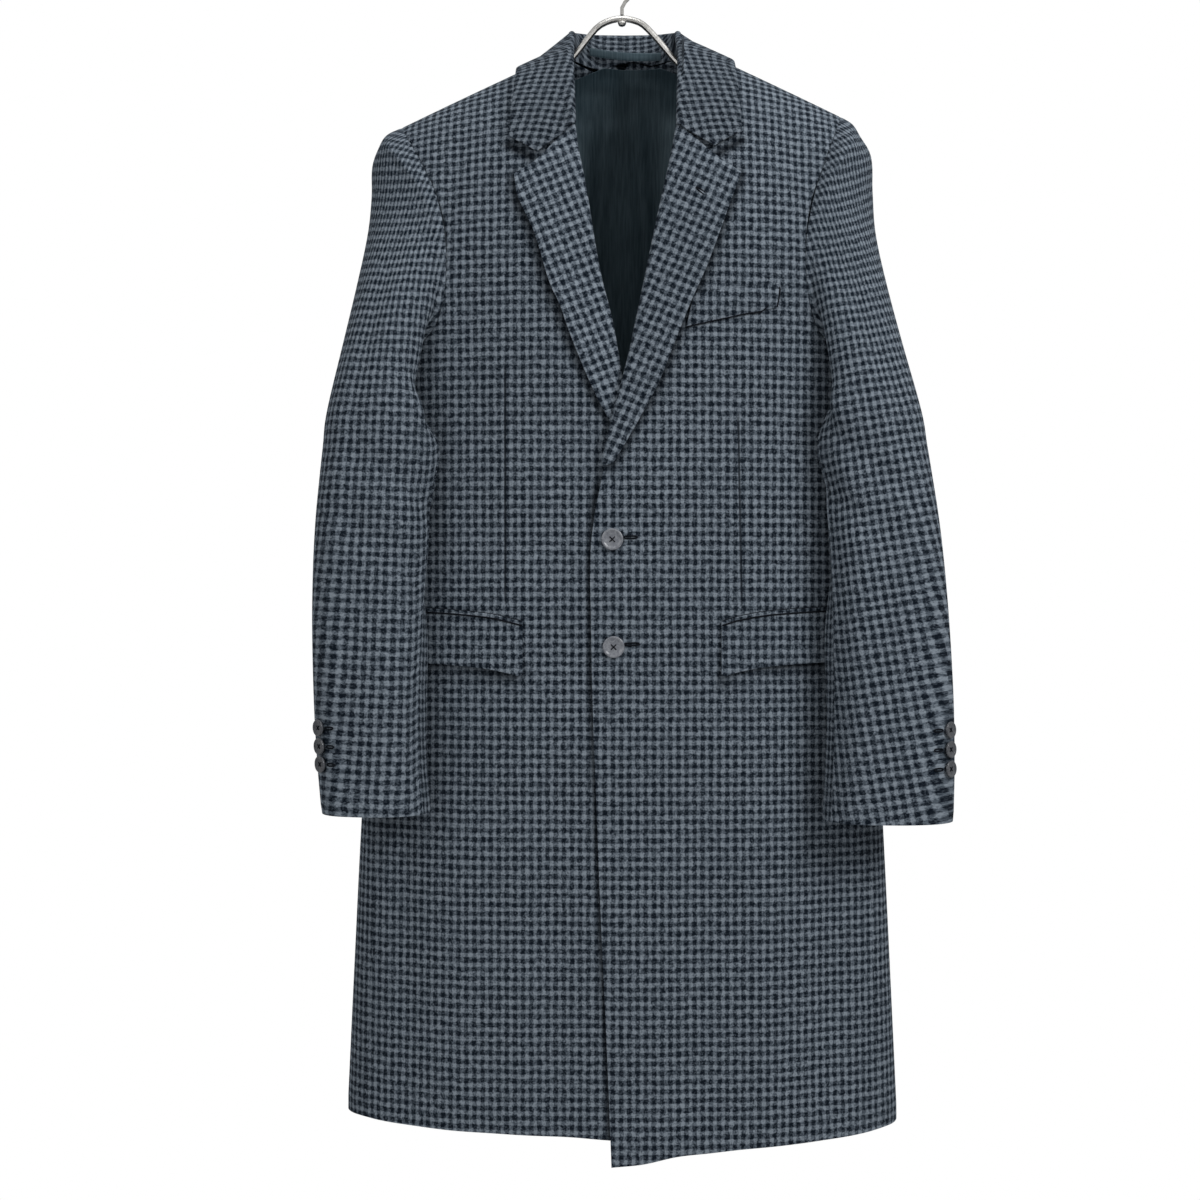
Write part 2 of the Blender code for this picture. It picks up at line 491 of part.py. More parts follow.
def collar_half(side, cols, stand, fold, fall):
    """Half of the collar: rows from the centre back to the gorge, each from the foot of the
    stand over the fold down to the edge of the fall."""
    s = np.linspace(0, 1, cols + 1)
    seam, n = neck_seam(side, s)
    top, up, out, edge = fold_frame(side, s)
    top[:, 0] += (float(roll_edge(side, GORGE_Z[side])) - top[-1, 0]) * smoothstep((s - 0.7) / 0.3)
    top[-1, 2] = GORGE_Z[side] + 3 * NOTCH_GAP
    away = np.cross(unit(np.gradient(seam, axis=0)), n)
    towards = np.array([NECK_X, 0.0, 0.0]) - seam * [1, 1, 0] + [0, 0, 0.02]
    away *= np.sign(np.sum(away * towards, -1))[:, None]
    wrapped = smoothstep((s - 0.66) / 0.30)[:, None]
    radius = FOLD_RADIUS + (CLOTH / 2 + LAYER - FOLD_RADIUS) * wrapped
    centre = top - up * radius

    def turn(a):
        return centre + radius * (up * np.sin(a) - out * np.cos(a))

    start = np.radians(75) * wrapped
    turned = np.stack([turn(start + (math.pi - start) * f) for f in np.linspace(0, 1, fold + 1)], 1)
    foot = seam + away * (LIE + 4 * SEAM) - out * CLOTH
    foot = foot * (1 - wrapped) + turn(start - np.radians(30)) * wrapped
    w = np.linspace(0, 1, stand + 1)[:-1, None]
    stood = foot[:, None] * (1 - w) + turned[:, :1] * w
    facing = [(turn(start - np.radians(30) * wrapped * (1 - f)) - centre) / radius for f in w[:, 0]]
    facing += [(turn(start + (math.pi - start) * f) - centre) / radius for f in np.linspace(0, 1, fold + 1)]
    root, notch, point = turned[-1, -1], NOTCH[side], COLLAR_POINT[side]
    notch_at = (abs(notch[0]) - abs(root[0])) / (abs(point[0]) - abs(root[0]))
    w = np.linspace(0, 1, fall + 1)[1:, None]
    w[np.argmin(np.abs(w - notch_at))] = notch_at
    fallen = turned[:, -1:] * (1 - w) + edge[:, None] * w
    end_x = np.interp(w[:, 0], (0, 1), (root[0], point[0]))
    end_z = np.interp(w[:, 0], (0, notch_at, 1), (root[2], notch[1] + NOTCH_GAP, point[1]))
    near_end = smoothstep((s - 0.80) / 0.20)[:, None]
    fallen[:, :, 0] += (end_x - fallen[-1, :, 0]) * near_end
    fallen[:, :, 2] += (end_z - fallen[-1, :, 2]) * near_end
    fallen = clear_of_body(fallen, LAYER + COLLAR_LIFT)
    outer = np.concatenate([stood, turned, fallen], 1)
    n = grid_normals(outer)
    n *= np.sign(np.sum(n[:, -1] * out, -1))[:, None, None]
    n[:, : stand + fold + 1] = np.stack(facing, 1)
    return outer, n


def collar(cols=14, stand=3, fold=4, fall=5):
    """The collar: the stand goes up from the neck seam, turns over the fold, and falls."""
    halves = [collar_half(side, cols, stand, fold, fall) for side in (-1, 1)]
    outer, n = (np.concatenate([halves[0][i][::-1], halves[1][i][1:]]) for i in (0, 1))
    wall("collar", outer, n)


def armhole_loop(side, upper=UPPER_ROWS):
    """Points of the armhole, from the shoulder point down the front, past the side seam and up
    the back, each on a corner of the panels' edge. With them the body's normal there, the way
    across the seam into the hole, and each point's share of the way round."""
    share = np.concatenate([[0], upper_rows(upper)])
    front_x, front_z = armhole_front(side, share)
    front, back_angle, back_z = on_body(front_x, front_z, -1), *armhole_back(side, share)
    back_x = side * body(back_z, "half_width") * np.sin(back_angle)
    ahead = (back_angle <= math.pi / 2)[:, None]
    sides = on_body(back_x, back_z, -1), on_body(back_x, back_z, 1)
    p, n = (
        np.concatenate([front[i][::-1], np.where(ahead, sides[0][i], sides[1][i])[1:]]) for i in (0, 1)
    )
    lengths = np.concatenate([[0], np.cumsum(np.linalg.norm(np.diff(p, axis=0), axis=1))])
    step = np.gradient(p, axis=0)
    step[0] = step[-1] = p[1] - p[-2]
    into = unit(np.cross(step, n))
    into *= np.sign(np.sum(into * (p[:-1].mean(0) - p), -1))[:, None]
    return p, n, into, lengths / lengths[-1]


def outside(p, gap):
    """Above 1 where a point stands outside the body's section at its height, by the gap."""
    x, y, z = p[..., 0], p[..., 1], p[..., 2]
    reach = np.where(y < 0, body(z, "front"), body(z, "back")) + gap
    return (x / (body(z, "half_width") + gap)) ** 2 + (np.abs(y) / reach) ** (2 / FLATNESS)


def drawn_in(p, middle, gap):
    """Draws a ring's points towards its middle until they stand outside the body."""
    low, high = np.zeros(p.shape[:-1]), np.ones(p.shape[:-1])
    for _ in range(24):
        k = np.where(outside(p, gap) >= 1, 1.0, (low + high) / 2)
        clear = outside(middle + (p - middle) * k[..., None], gap) >= 1
        low, high = np.where(clear, k, low), np.where(clear, high, k)
    k = np.where(outside(p, gap) >= 1, 1.0, low)[..., None]
    return middle + (p - middle) * k


def pushed_out(p, gap):
    """Moves points the short way out of the body's section until they stand outside it."""
    p = p.copy()
    for _ in range(12):
        x, y, z = p[..., 0], p[..., 1], p[..., 2]
        reach = np.where(y < 0, body(z, "front"), body(z, "back")) + gap
        wide = body(z, "half_width") + gap
        slope_x = 2 * x / wide**2
        slope_y = 2 / FLATNESS * np.abs(y / reach) ** (2 / FLATNESS - 1) / reach * np.sign(y)
        short = np.clip(1 - outside(p, gap), 0, None) / (slope_x**2 + slope_y**2)
        p[..., 0] += slope_x * short * 0.7
        p[..., 1] += slope_y * short * 0.7
    return p


def sleeve_grid(side, head=HEAD_RINGS, tube=9):
    """The sleeve's right side: a row for each ring from the armhole down to the cuff, a column
    for each corner of the armhole, and the normals."""
    start, n, into, share = armhole_loop(side)
    low = np.exp(-(((share - 0.52) / 0.13) ** 2))[:, None]
    leave = unit(into * (1 - low) + n * low)
    start = start + into * 2 * SEAM * (1 - low) + n * 3 * SEAM * low
    angle = np.radians(column(SLEEVE_LINES, SLEEVE_LINE_COLUMNS, "degrees", share))
    z, outer_x, inner_x, y, half = along(SLEEVE[side], np.linspace(0, 1, tube)).T[:, :, None]
    c, s = (np.sign(v) * np.abs(v) ** (2 / SLEEVE_SECTION) for v in (np.cos(angle), np.sin(angle)))
    x = (outer_x + inner_x) / 2 + (outer_x - inner_x) / 2 * c
    down = np.stack([x, y - half * s, np.broadcast_to(z, x.shape)], -1)
    middle = np.stack([outer_x * 0.66 + inner_x * 0.34, y - 0.018, z], -1)
    gap = 0.0090 - 0.0010 * smoothstep((-0.50 - down[..., 2]) / 0.08)
    down = drawn_in(down, middle, gap)
    fall = unit(down[1] - down[0])
    span = np.linalg.norm(down[0] - start, axis=-1, keepdims=True)
    t = np.linspace(0, 1, head + 1)[:-1, None, None] ** 1.25
    p1 = start + leave * np.clip(span * 0.05, 0.006, 0.010)
    p2 = down[0] - fall * span * 0.50
    p2[:, 0] -= side * 0.018 * np.clip(np.cos(angle), 0, 1)
    headed = (1 - t) ** 3 * start + 3 * (1 - t) ** 2 * t * p1 + 3 * (1 - t) * t**2 * p2 + t**3 * down[0]
    ease = LIE + (0.0045 - LIE) * smoothstep(np.arange(1, head) / 4)[:, None]
    p = np.concatenate([headed, down])
    high = 0.016 * smoothstep((p[1:head, :, 2] + 0.200) / 0.04)
    p[1:head] = pushed_out(p[1:head], ease - high)
    for _ in range(3):
        ring = np.concatenate([p[:, -2:-1], p, p[:, 1:2]], 1)
        even = (p[:-2] + p[2:] + ring[1:-1, :-2] + ring[1:-1, 2:]) / 4
        p[1:head] += 0.5 * (even[: head - 1] - p[1:head])
        p[1:head] = pushed_out(p[1:head], ease - high)
    wrapped = np.concatenate([p[:, -2:-1], p, p[:, 1:2]], 1)
    normals = grid_normals(wrapped)[:, 1:-1]
    outward = np.sum(normals[-1] * (p[-1] - p[-1].mean(0)), -1).sum()
    normals *= np.sign(outward)
    for _ in range(3):
        beside = np.concatenate([normals[:, -2:-1], normals, normals[:, 1:2]], 1)
        normals = unit(normals + (beside[:, :-2] + beside[:, 2:]) / 2)
    return p, normals


def sleeve(side):
    """Both pieces of one sleeve, split along its front and back seams."""
    p, n = sleeve_grid(side)
    last = p.shape[1] - 1
    front, back = last // 2 - FRONT_SEAM_ROW, last // 2 + BACK_SEAM_ROW
    round_top = list(range(back, last)) + list(range(front + 1))
    name = "right" if side > 0 else "left"
    for label, picked, material in (
        ("sleeve_top", round_top, "wool"), ("sleeve_under", list(range(front, back + 1)), "wool_under")
    ):
        piece = p[:, picked].copy()
        for edge, inner in ((0, 1), (-1, -2)):
            piece[:, edge] += unit(piece[:, inner] - piece[:, edge]) * SEAM / 2
        wall(f"{label}_{name}", piece, n[:, picked], material=material)


def on_sleeve(side, degrees, z):
    """A point of the sleeve's right side at a height and an angle, and the normal there."""
    p, n = sleeve_grid(side)
    share = armhole_loop(side)[3]
    at = np.interp(degrees, *np.array(SLEEVE_LINES)[:, ::-1].T)
    rows = p[HEAD_RINGS:, :, 2].mean(1)

    def read(grid):
        line = [[np.interp(at, share, row[:, i]) for i in range(3)] for row in grid[HEAD_RINGS:]]
        return np.array([np.interp(-z, -rows, np.array(line)[:, i]) for i in range(3)])

    return read(p), unit(read(n))


def on_front(x, z, lift, left):
    """Points of a piece that lies on a front, moved out by the lift, where seen at x, z."""
    return np.stack([x, depth(x, z, -1, left) - lift, z], -1)


def pocket(side, cols=9, rows=3):
    """A hip pocket: the jet above and the flap below it, both lying on the front."""
    name = "right" if side > 0 else "left"
    top = along(FLAP[side], np.linspace(0, 1, cols + 1))
    x = top[:, 0]
    for label, high, low, inset in (("jet", JET_HEIGHT, SEAM, 0.0), ("flap", 0.0, -FLAP_HEIGHT, FLAP_CORNER)):
        w = np.linspace(0, 1, rows + 1)[:, None] if label == "flap" else np.array([[0.0], [1.0]])
        z = top[:, 1] + high + (low - high) * w
        p = on_front(np.broadcast_to(x, z.shape), z, LAYER, side < 0)
        _, n = on_body(p[..., 0], p[..., 2], -1, side < 0)
        p[-1, 0, 2] += inset * 0.5
        p[-1, -1, 2] += inset * 0.5
        wall(f"{label}_{name}", p, n)


def breast_welt(cols=6):
    """The slanting welt of the breast pocket; its inner end goes under the lapel."""
    s = np.linspace(0, 1, cols + 1)[:, None]
    low = np.array(WELT_LOW[0]) * (1 - s) + np.array(WELT_LOW[1]) * s
    high = np.array(WELT_HIGH[0]) * (1 - s) + np.array(WELT_HIGH[1]) * s
    grid = np.stack([low, high])
    p = on_front(grid[..., 0], grid[..., 1], 0.0018, False)
    _, n = on_body(p[..., 0], p[..., 2], -1)
    wall("breast_welt", p, n, 0.0018 - LIE)


def button(name, centre, facing, radius):
    """A turned button with a raised rim, its back on the cloth."""
    sides = 16
    profile = (  # share of the radius, height
        (0.55, 0.0), (0.90, 0.0006), (1.0, BUTTON_THICK * 0.55), (0.93, BUTTON_THICK), (0.78, BUTTON_THICK),
        (0.62, BUTTON_THICK * 0.72),
    )
    facing = np.array(facing) / np.linalg.norm(facing)
    across = np.cross(facing, (0, 0, 1))
    across /= np.linalg.norm(across)
    up = np.cross(across, facing)
    turn = np.linspace(0, 2 * math.pi, sides, endpoint=False)
    points = []
    for share, height in profile:
        ring = np.cos(turn)[:, None] * across + np.sin(turn)[:, None] * up
        points.append(centre + ring * radius * share + facing * height)
    points = np.concatenate(points)
    faces = [tuple(range(sides))[::-1], tuple(range(len(points) - sides, len(points)))]
    for i in range(len(profile) - 1):
        for j in range(sides):
            a, b = i * sides + j, i * sides + (j + 1) % sides
            faces.append((a, b, b + sides, a + sides))
    made = add_object(name, points, faces, "horn")
    volume = sum(
        np.dot(points[f[0]], np.cross(points[f[i]], points[f[i + 1]])) for f in faces for i in range(1, len(f) - 1)
    )
    if volume < 0:
        made.data.flip_normals()


def buttons():
    for i, (x, z) in enumerate(FRONT_BUTTONS, 1):
        p, n = on_body(np.array(x), np.array(z), -1)
        button(f"front_button_{i}", p + n * LIE, n, FRONT_BUTTON)
    for side, name in ((-1, "left"), (1, "right")):
        for i, z in enumerate(CUFF_BUTTON_Z[side], 1):
            p, n = on_sleeve(side, CUFF_BUTTON_DEGREES[side], z)
            button(f"cuff_button_{name}_{i}", p + n * (LIE + SEAM), n, CUFF_BUTTON)


def strip(name, path, half, thickness, material):
    """A flat band standing on edge along a path, its height upright."""
    low, high = path - [0, 0, half], path + [0, 0, half]
    outer = np.stack([low, high])
    n = grid_normals(outer)
    n *= np.sign(-n[0, len(path) // 2, 1])
    wall(name, outer, n, thickness, material)


def hanger_loop():
    """The band across the inside of the back neck, sewn at the foot of the collar's stand."""
    x = np.linspace(-0.0310, 0.0385, 11)
    z = np.interp(x, (-0.031, 0.0385), (-0.0835, -0.0885))
    bow = np.sin(np.linspace(0, math.pi, 11))
    y = 0.0375 - 0.0030 * bow - 3.0 * (x - NECK_X) ** 2
    strip("hanger_loop", np.stack([x, y, z - 0.002 * bow], -1), 0.0036, LINING, "satin")


def tube(name, points, radius, material):
    """A round bar along points, as a curve with a bevel and filled ends."""
    curve = bpy.data.curves.new(name, "CURVE")
    curve.dimensions = "3D"
    curve.bevel_depth = radius
    curve.bevel_resolution = 3
    curve.use_fill_caps = True
    line = curve.splines.new("POLY")
    line.points.add(len(points) - 1)
    for point, place in zip(line.points, points):
        point.co = (*place, 1)
    made = bpy.data.objects.new(name, curve)
    bpy.context.collection.objects.link(made)
    curve.materials.append(finish(material))


def hanger():
    """The tube's arch and arms in one bend, the hook above it and the nut under it."""
    drop = (CLOTH + LIE + TUBE) * 1.12 + 0.0004
    arm = lambda x: (x, float(shoulder(x)) - drop)
    route = [arm(-0.185), arm(-0.130), arm(-0.085), (-0.0590, -0.1110), *ARCH, (0.0640, -0.1125),
             (0.0800, -0.1145), arm(0.115), arm(0.150), arm(0.188)]
    path = along([(x, 0.0, z) for x, z in route], np.linspace(0, 1, 44))
    tube("hanger_bar", path, TUBE, "chrome")
    centre = -HOOK_RADIUS
    ring = HOOK_RADIUS + WIRE
    stem = [(0.0, -0.0600), (0.0, -0.0530), (0.0030, -0.0475)]
    bend = [(ring * math.cos(a), centre + ring * math.sin(a)) for a in np.radians(np.linspace(-58, 205, 18))]
    tube("hanger_hook", [(x, 0.0, z) for x, z in stem + bend], WIRE, "chrome")
    nut_top = ARCH[4][1] - TUBE - SEAM
    profile = ((0.0040, nut_top), (0.0040, nut_top - 0.0016), (0.0030, nut_top - 0.0034), (0.0012, nut_top - 0.0042))
    sides = 16
    turn = np.linspace(0, 2 * math.pi, sides, endpoint=False)
    points = [(r * math.cos(a), r * math.sin(a), z) for r, z in profile for a in turn]
    faces = [tuple(range(sides)), tuple(range(len(points) - 1, len(points) - sides - 1, -1))]
    for i in range(len(profile) - 1):
        for j in range(sides):
            a, b = i * sides + j, i * sides + (j + 1) % sides
            faces.append((a, a + sides, b + sides, b))
    add_object("hanger_nut", points, faces, "chrome")


for thing in list(bpy.data.objects):
    bpy.data.objects.remove(thing)
for side in (-1, 1):
    front_panel(side)
    back_panel(side)
    lining(side)
    lapel(side)
    sleeve(side)
    pocket(side)
collar()
breast_welt()
buttons()
hanger_loop()
hanger()
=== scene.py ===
import math

import bpy
import numpy as np
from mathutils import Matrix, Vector


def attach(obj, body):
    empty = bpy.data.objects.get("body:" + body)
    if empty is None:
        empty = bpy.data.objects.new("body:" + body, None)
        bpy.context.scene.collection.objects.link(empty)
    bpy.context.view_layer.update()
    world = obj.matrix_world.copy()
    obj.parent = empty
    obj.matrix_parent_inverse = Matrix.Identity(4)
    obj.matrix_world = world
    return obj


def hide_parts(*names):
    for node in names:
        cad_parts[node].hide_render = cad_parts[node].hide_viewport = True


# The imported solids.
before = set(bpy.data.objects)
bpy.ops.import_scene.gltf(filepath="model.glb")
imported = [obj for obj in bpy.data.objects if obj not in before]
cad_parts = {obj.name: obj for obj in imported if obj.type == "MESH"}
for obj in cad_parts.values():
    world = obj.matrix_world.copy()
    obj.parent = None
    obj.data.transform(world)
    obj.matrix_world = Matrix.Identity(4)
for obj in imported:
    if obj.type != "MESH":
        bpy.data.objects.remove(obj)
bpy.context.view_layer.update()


# Camera and light
# The coat hangs level with the lens against plain white, in soft even light that comes mostly
# from the front and above, with a little more from the viewer's right.
def placed(name, data):
    """An object made of the data, at the origin of the scene."""
    made = bpy.data.objects.new(name, data)
    bpy.context.scene.collection.objects.link(made)
    return made


camera = placed("camera", bpy.data.cameras.new("camera"))
bpy.context.scene.camera = camera
camera.data.sensor_width, camera.data.lens = 36.0, 47.8
camera.data.clip_end = 60.0
camera.location = (-0.0212, -1.535, -0.6235)
camera.rotation_euler = (math.pi / 2, 0, 0)


def lamp(name, place, target, size, watts):
    """A square area light at a place, turned to its target."""
    light = bpy.data.lights.new(name, "AREA")
    light.size, light.energy = size, watts
    made = placed(name, light)
    made.location = place
    made.rotation_euler = (Vector(target) - Vector(place)).to_track_quat("-Z", "Y").to_euler()


lamp("key", (1.9, -2.0, 0.9), (0.0, 0.0, -0.5), 1.1, 56)
lamp("fill", (-1.9, -2.2, 0.5), (0.0, 0.0, -0.5), 1.4, 18)
lamp("top", (0.0, -0.5, 1.7), (0.0, 0.0, -0.4), 1.0, 16)

world = bpy.data.worlds.new("world")
bpy.context.scene.world = world
world.use_nodes = True
# The lens sees pure white behind the coat, and the coat is lit by a dimmer white all round.
AROUND = 0.42
background = world.node_tree.nodes["Background"]
background.inputs["Color"].default_value = (1.0, 1.0, 1.0, 1.0)
seen = world.node_tree.nodes.new("ShaderNodeLightPath")
level = world.node_tree.nodes.new("ShaderNodeMapRange")
level.inputs["To Min"].default_value = AROUND
world.node_tree.links.new(seen.outputs["Is Camera Ray"], level.inputs["Value"])
world.node_tree.links.new(level.outputs["Result"], background.inputs["Strength"])
bpy.context.scene.view_settings.view_transform = "Standard"
bpy.context.scene.render.engine = "CYCLES"
bpy.context.scene.cycles.samples = 192
bpy.context.scene.cycles.use_denoising = True

# A round pale floor, well below the hem.
FLOOR_Z, FLOOR_RADIUS, FLOOR_CORNERS = -1.9, 1.1, 48
angles = np.linspace(0, 2 * math.pi, FLOOR_CORNERS, endpoint=False)
rim = [(FLOOR_RADIUS * math.cos(a), FLOOR_RADIUS * math.sin(a), FLOOR_Z) for a in angles]
ground = bpy.data.meshes.new("floor")
ground.from_pydata(rim, [], [tuple(range(FLOOR_CORNERS))])
floor = placed("floor", ground)
pale = bpy.data.materials.new("pale floor")
pale.use_nodes = True
matt = pale.node_tree.nodes["Principled BSDF"]
matt.inputs["Base Color"].default_value = (0.82, 0.82, 0.82, 1.0)
matt.inputs["Roughness"].default_value = 0.9
ground.materials.append(pale)


# Wool
# A brushed wool twill in a small check: dark and pale stripes of the same width cross, so that
# dark squares, pale squares and mixed ones alternate. The repeat is 7.5 mm by 8.5 mm.
class Graph:
    """Adds shader nodes to a material and joins them up. Its values are node outputs."""

    def __init__(self, name, roughness):
        self.material = bpy.data.materials.new(name)
        self.material.use_nodes = True
        self.tree = self.material.node_tree
        self.shader = self.tree.nodes["Principled BSDF"]
        self.shader.inputs["Roughness"].default_value = roughness

    def set(self, socket, value):
        """Joins a socket to another's output, or gives it a value."""
        if isinstance(value, bpy.types.NodeSocket):
            self.tree.links.new(value, socket)
        else:
            socket.default_value = value

    def node(self, kind, out=0, settings=(), **inputs):
        """A node's output; inputs are given by name, with _ for a space, or by n and a number."""
        made = self.tree.nodes.new(kind)
        for key, value in dict(settings).items():
            setattr(made, key, value)
        for key, value in inputs.items():
            at = int(key[1:]) if key[0] == "n" and key[1:].isdigit() else key.replace("_", " ")
            self.set(made.inputs[at], value)
        return made.outputs[out]

    def math(self, what, a, b=0.0, c=0.0):
        """An arithmetic operation on numbers or outputs."""
        return self.node("ShaderNodeMath", settings={"operation": what}, n0=a, n1=b, n2=c)

    def times(self, a, b):
        """a times b."""
        return self.math("MULTIPLY", a, b)

    def parts(self, vector):
        """The x, y and z of a vector."""
        made = self.tree.nodes.new("ShaderNodeSeparateXYZ")
        self.set(made.inputs[0], vector)
        return made.outputs

    def on_cloth(self):
        """The place on the flat cloth, in metres."""
        return self.node("ShaderNodeUVMap", settings={"uv_map": "grain"})

    def in_space(self):
        """The place in space, in metres."""
        return self.node("ShaderNodeTexCoord", out=3)

    def noise(self, place, scale, detail, out=0, **more):
        """Cloudy noise with that many lumps to a metre: its height, or with out=1 its colour."""
        return self.node("ShaderNodeTexNoise", out=out, Vector=place, Scale=scale, Detail=detail, **more)

    def ramp(self, value, low, high, soft=True):
        """0 to 1 as the value goes from low to high."""
        kind = {"interpolation_type": "SMOOTHSTEP" if soft else "LINEAR"}
        return self.node("ShaderNodeMapRange", settings=kind, Value=value, From_Min=low, From_Max=high)

    def mix(self, share, a, b):
        """A colour between a and b."""
        made = self.tree.nodes.new("ShaderNodeMix")
        made.data_type = "RGBA"
        self.set(made.inputs[0], share)
        for at, colour in ((6, a), (7, b)):
            joined = isinstance(colour, bpy.types.NodeSocket)
            self.set(made.inputs[at], colour if joined else (*colour, 1.0))
        return made.outputs[2]

    def surface(self, **inputs):
        """Sets the shader's own inputs, given by name with _ for a space."""
        for key, value in inputs.items():
            self.set(self.shader.inputs[key.replace("_", " ")], value)
        return self.material

    def bump(self, height, strength, distance):
        """Tilts the shader's normal as the height would."""
        bent = self.node("ShaderNodeBump", Strength=strength, Distance=distance, Height=height)
        self.surface(Normal=bent)


REPEAT = (0.0075, 0.0085)  # of the check, across the cloth and along it
WANDER = 0.0052  # how far the edges of the stripes stray
TWILL = 0.0014  # from one rib to the next
DARK, MIDDLE, LIGHT = (0.0030, 0.0060, 0.0110), (0.072, 0.090, 0.112), (0.215, 0.250, 0.290)
CLOUD = (0.020, 0.028, 0.038)
# Painted shade along seam furrows, and painted shadow beside folded edges.
PAINTED_SEAM_SHADE, PAINTED_SHADOW_COLOUR = (0.004, 0.006, 0.010), (0.0015, 0.0025, 0.0045)


def wool(name, painted_light_gain=1.0, lines=()):
    """The check over the piece's own UV map, which is in metres along the grain: a sine across
    and one along, each steepened to a stripe, then averaged. Fine noise gives the mixed yarn,
    and diagonal ribs the twill. Lines are seams at (x, top z, low z, lean), as thin furrows with
    painted shade along them. The gain scales every colour, for lit and shaded copies of the
    wool: painted light and shade. A shade attribute on the mesh adds painted shadow."""
    g = Graph(name, 0.82)
    dark, middle, light, cloud = ([c * painted_light_gain for c in colour] for colour in (DARK, MIDDLE, LIGHT, CLOUD))
    grain = g.on_cloth()
    stray = g.noise(grain, 150.0, 4.0, out=1, Roughness=0.7)
    for what, a in (("SUBTRACT", (0.5, 0.5, 0.5)), ("MULTIPLY", (WANDER, WANDER, 0.0)), ("ADD", grain)):
        stray = g.node("ShaderNodeVectorMath", settings={"operation": what}, n0=stray, n1=a)
    place = g.parts(stray)
    waves = (g.math("SINE", g.times(place[i], 2 * math.pi / REPEAT[i])) for i in (0, 1))
    both = g.times(g.math("ADD", *(g.ramp(wave, -0.45, 0.70) for wave in waves)), 0.5)
    flecks = g.noise(grain, 560.0, 3.0, Roughness=0.75)
    slubs = g.noise(grain, 190.0, 3.0, Roughness=0.65)
    rough = g.math("ADD", g.times(flecks, 0.75), g.times(slubs, 0.45))
    tone = g.math("ADD", both, g.times(g.math("SUBTRACT", rough, 0.60), 2.9))
    colour = g.mix(g.ramp(tone, 0.0, 0.5, False), dark, middle)
    colour = g.mix(g.ramp(tone, 0.5, 1.05, False), colour, light)
    clouds = g.ramp(g.noise(g.in_space(), 7.0, 2.0), 0.2, 0.8, False)
    colour = g.mix(g.times(clouds, 0.16), colour, cloud)
    rib = g.math("SINE", g.times(g.math("ADD", place[0], place[1]), 2 * math.pi / TWILL))
    height = g.math("ADD", g.times(rib, 0.25), g.times(rough, 1.6))
    for x, top, low, lean in lines:
        # Painted shade and furrow: darkest within 0.4 mm of the line, gone at 1.6 mm, and fading out at
        # both ends.
        at = g.parts(g.in_space())
        across = g.math("ADD", at[0], g.math("MULTIPLY_ADD", at[2], lean, -x - top * lean))
        near = g.ramp(g.math("ABSOLUTE", across), 0.0016, 0.0004)
        span = g.times(g.ramp(at[2], low, low + 0.02), g.ramp(at[2], top, top - 0.02))
        furrow = g.times(near, span)
        colour = g.mix(g.times(furrow, 0.85), colour, PAINTED_SEAM_SHADE)
        height = g.math("SUBTRACT", height, g.times(furrow, 3.0))
    # Painted shadow: the mesh's shade attribute darkens the cloth beside folded edges.
    painted_shadow = g.node("ShaderNodeAttribute", out=2, settings={"attribute_name": "shade"})
    g.bump(height, 0.55, 0.0004)
    return g.surface(
        Base_Color=g.mix(painted_shadow, colour, PAINTED_SHADOW_COLOUR), Sheen_Weight=0.02, Sheen_Roughness=0.45,
        Sheen_Tint=(0.80, 0.87, 0.95, 1.0), Specular_IOR_Level=0.03,
    )


def smoothstep(t):
    """0 below 0, 1 above 1, with a soft change between."""
    t = np.clip(t, 0, 1)
    return t * t * (3 - 2 * t)


def along(rows, shares):
    """Points at the given shares (0 to 1) of a smooth curve through the rows, as Catmull-Rom."""
    p = np.asarray(rows, float)
    p = np.concatenate([2 * p[:1] - p[1:2], p, 2 * p[-1:] - p[-2:-1]])
    t = np.clip(np.asarray(shares, float), 0, 1) * (len(rows) - 1)
    i = np.minimum(t.astype(int), len(rows) - 2)
    t = (t - i).reshape(-1, *[1] * (p.ndim - 1))
    a, b, c, d = p[i], p[i + 1], p[i + 2], p[i + 3]
    bend, twist = 2 * a - 5 * b + 4 * c - d, 3 * b - a - 3 * c + d
    return 0.5 * (2 * b + (c - a) * t + bend * t**2 + twist * t**3)


def finer(grid, rows, cols):
    """The grid with that many times as many rows and columns, on smooth curves both ways."""
    grid = along(grid, np.linspace(0, 1, (grid.shape[0] - 1) * rows + 1))
    grid = along(grid.swapaxes(0, 1), np.linspace(0, 1, (grid.shape[1] - 1) * cols + 1))
    return grid.swapaxes(0, 1)


def unit(v):
    """Vectors divided by their length."""
    return v / np.maximum(np.linalg.norm(v, axis=-1, keepdims=True), 1e-12)


def grid_normals(p):
    """Normals of a grid of points: the cross product of the ways its rows and columns run."""
    return unit(np.cross(np.gradient(p, axis=1), np.gradient(p, axis=0)))


def finished(name, mesh, material):
    """The object of a mesh, smoothed and with its material, which rides with the coat."""
    mesh.validate()
    mesh.shade_smooth()
    mesh.materials.append(material)
    made = placed(name, mesh)
    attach(made, "root")
    return made


CLOTH, SEAM, LIE = 0.0025, 0.0003, 0.0005  # thickness, gap at a seam, gap between layers
REACH = 0.0004  # how far a sewn edge goes on under its neighbour, so no light shows in the seam
EDGE_ROUND = 0.22  # how much of the thickness an edge is pressed in
CREASE = math.radians(60)  # edges that turn further than this stay sharp


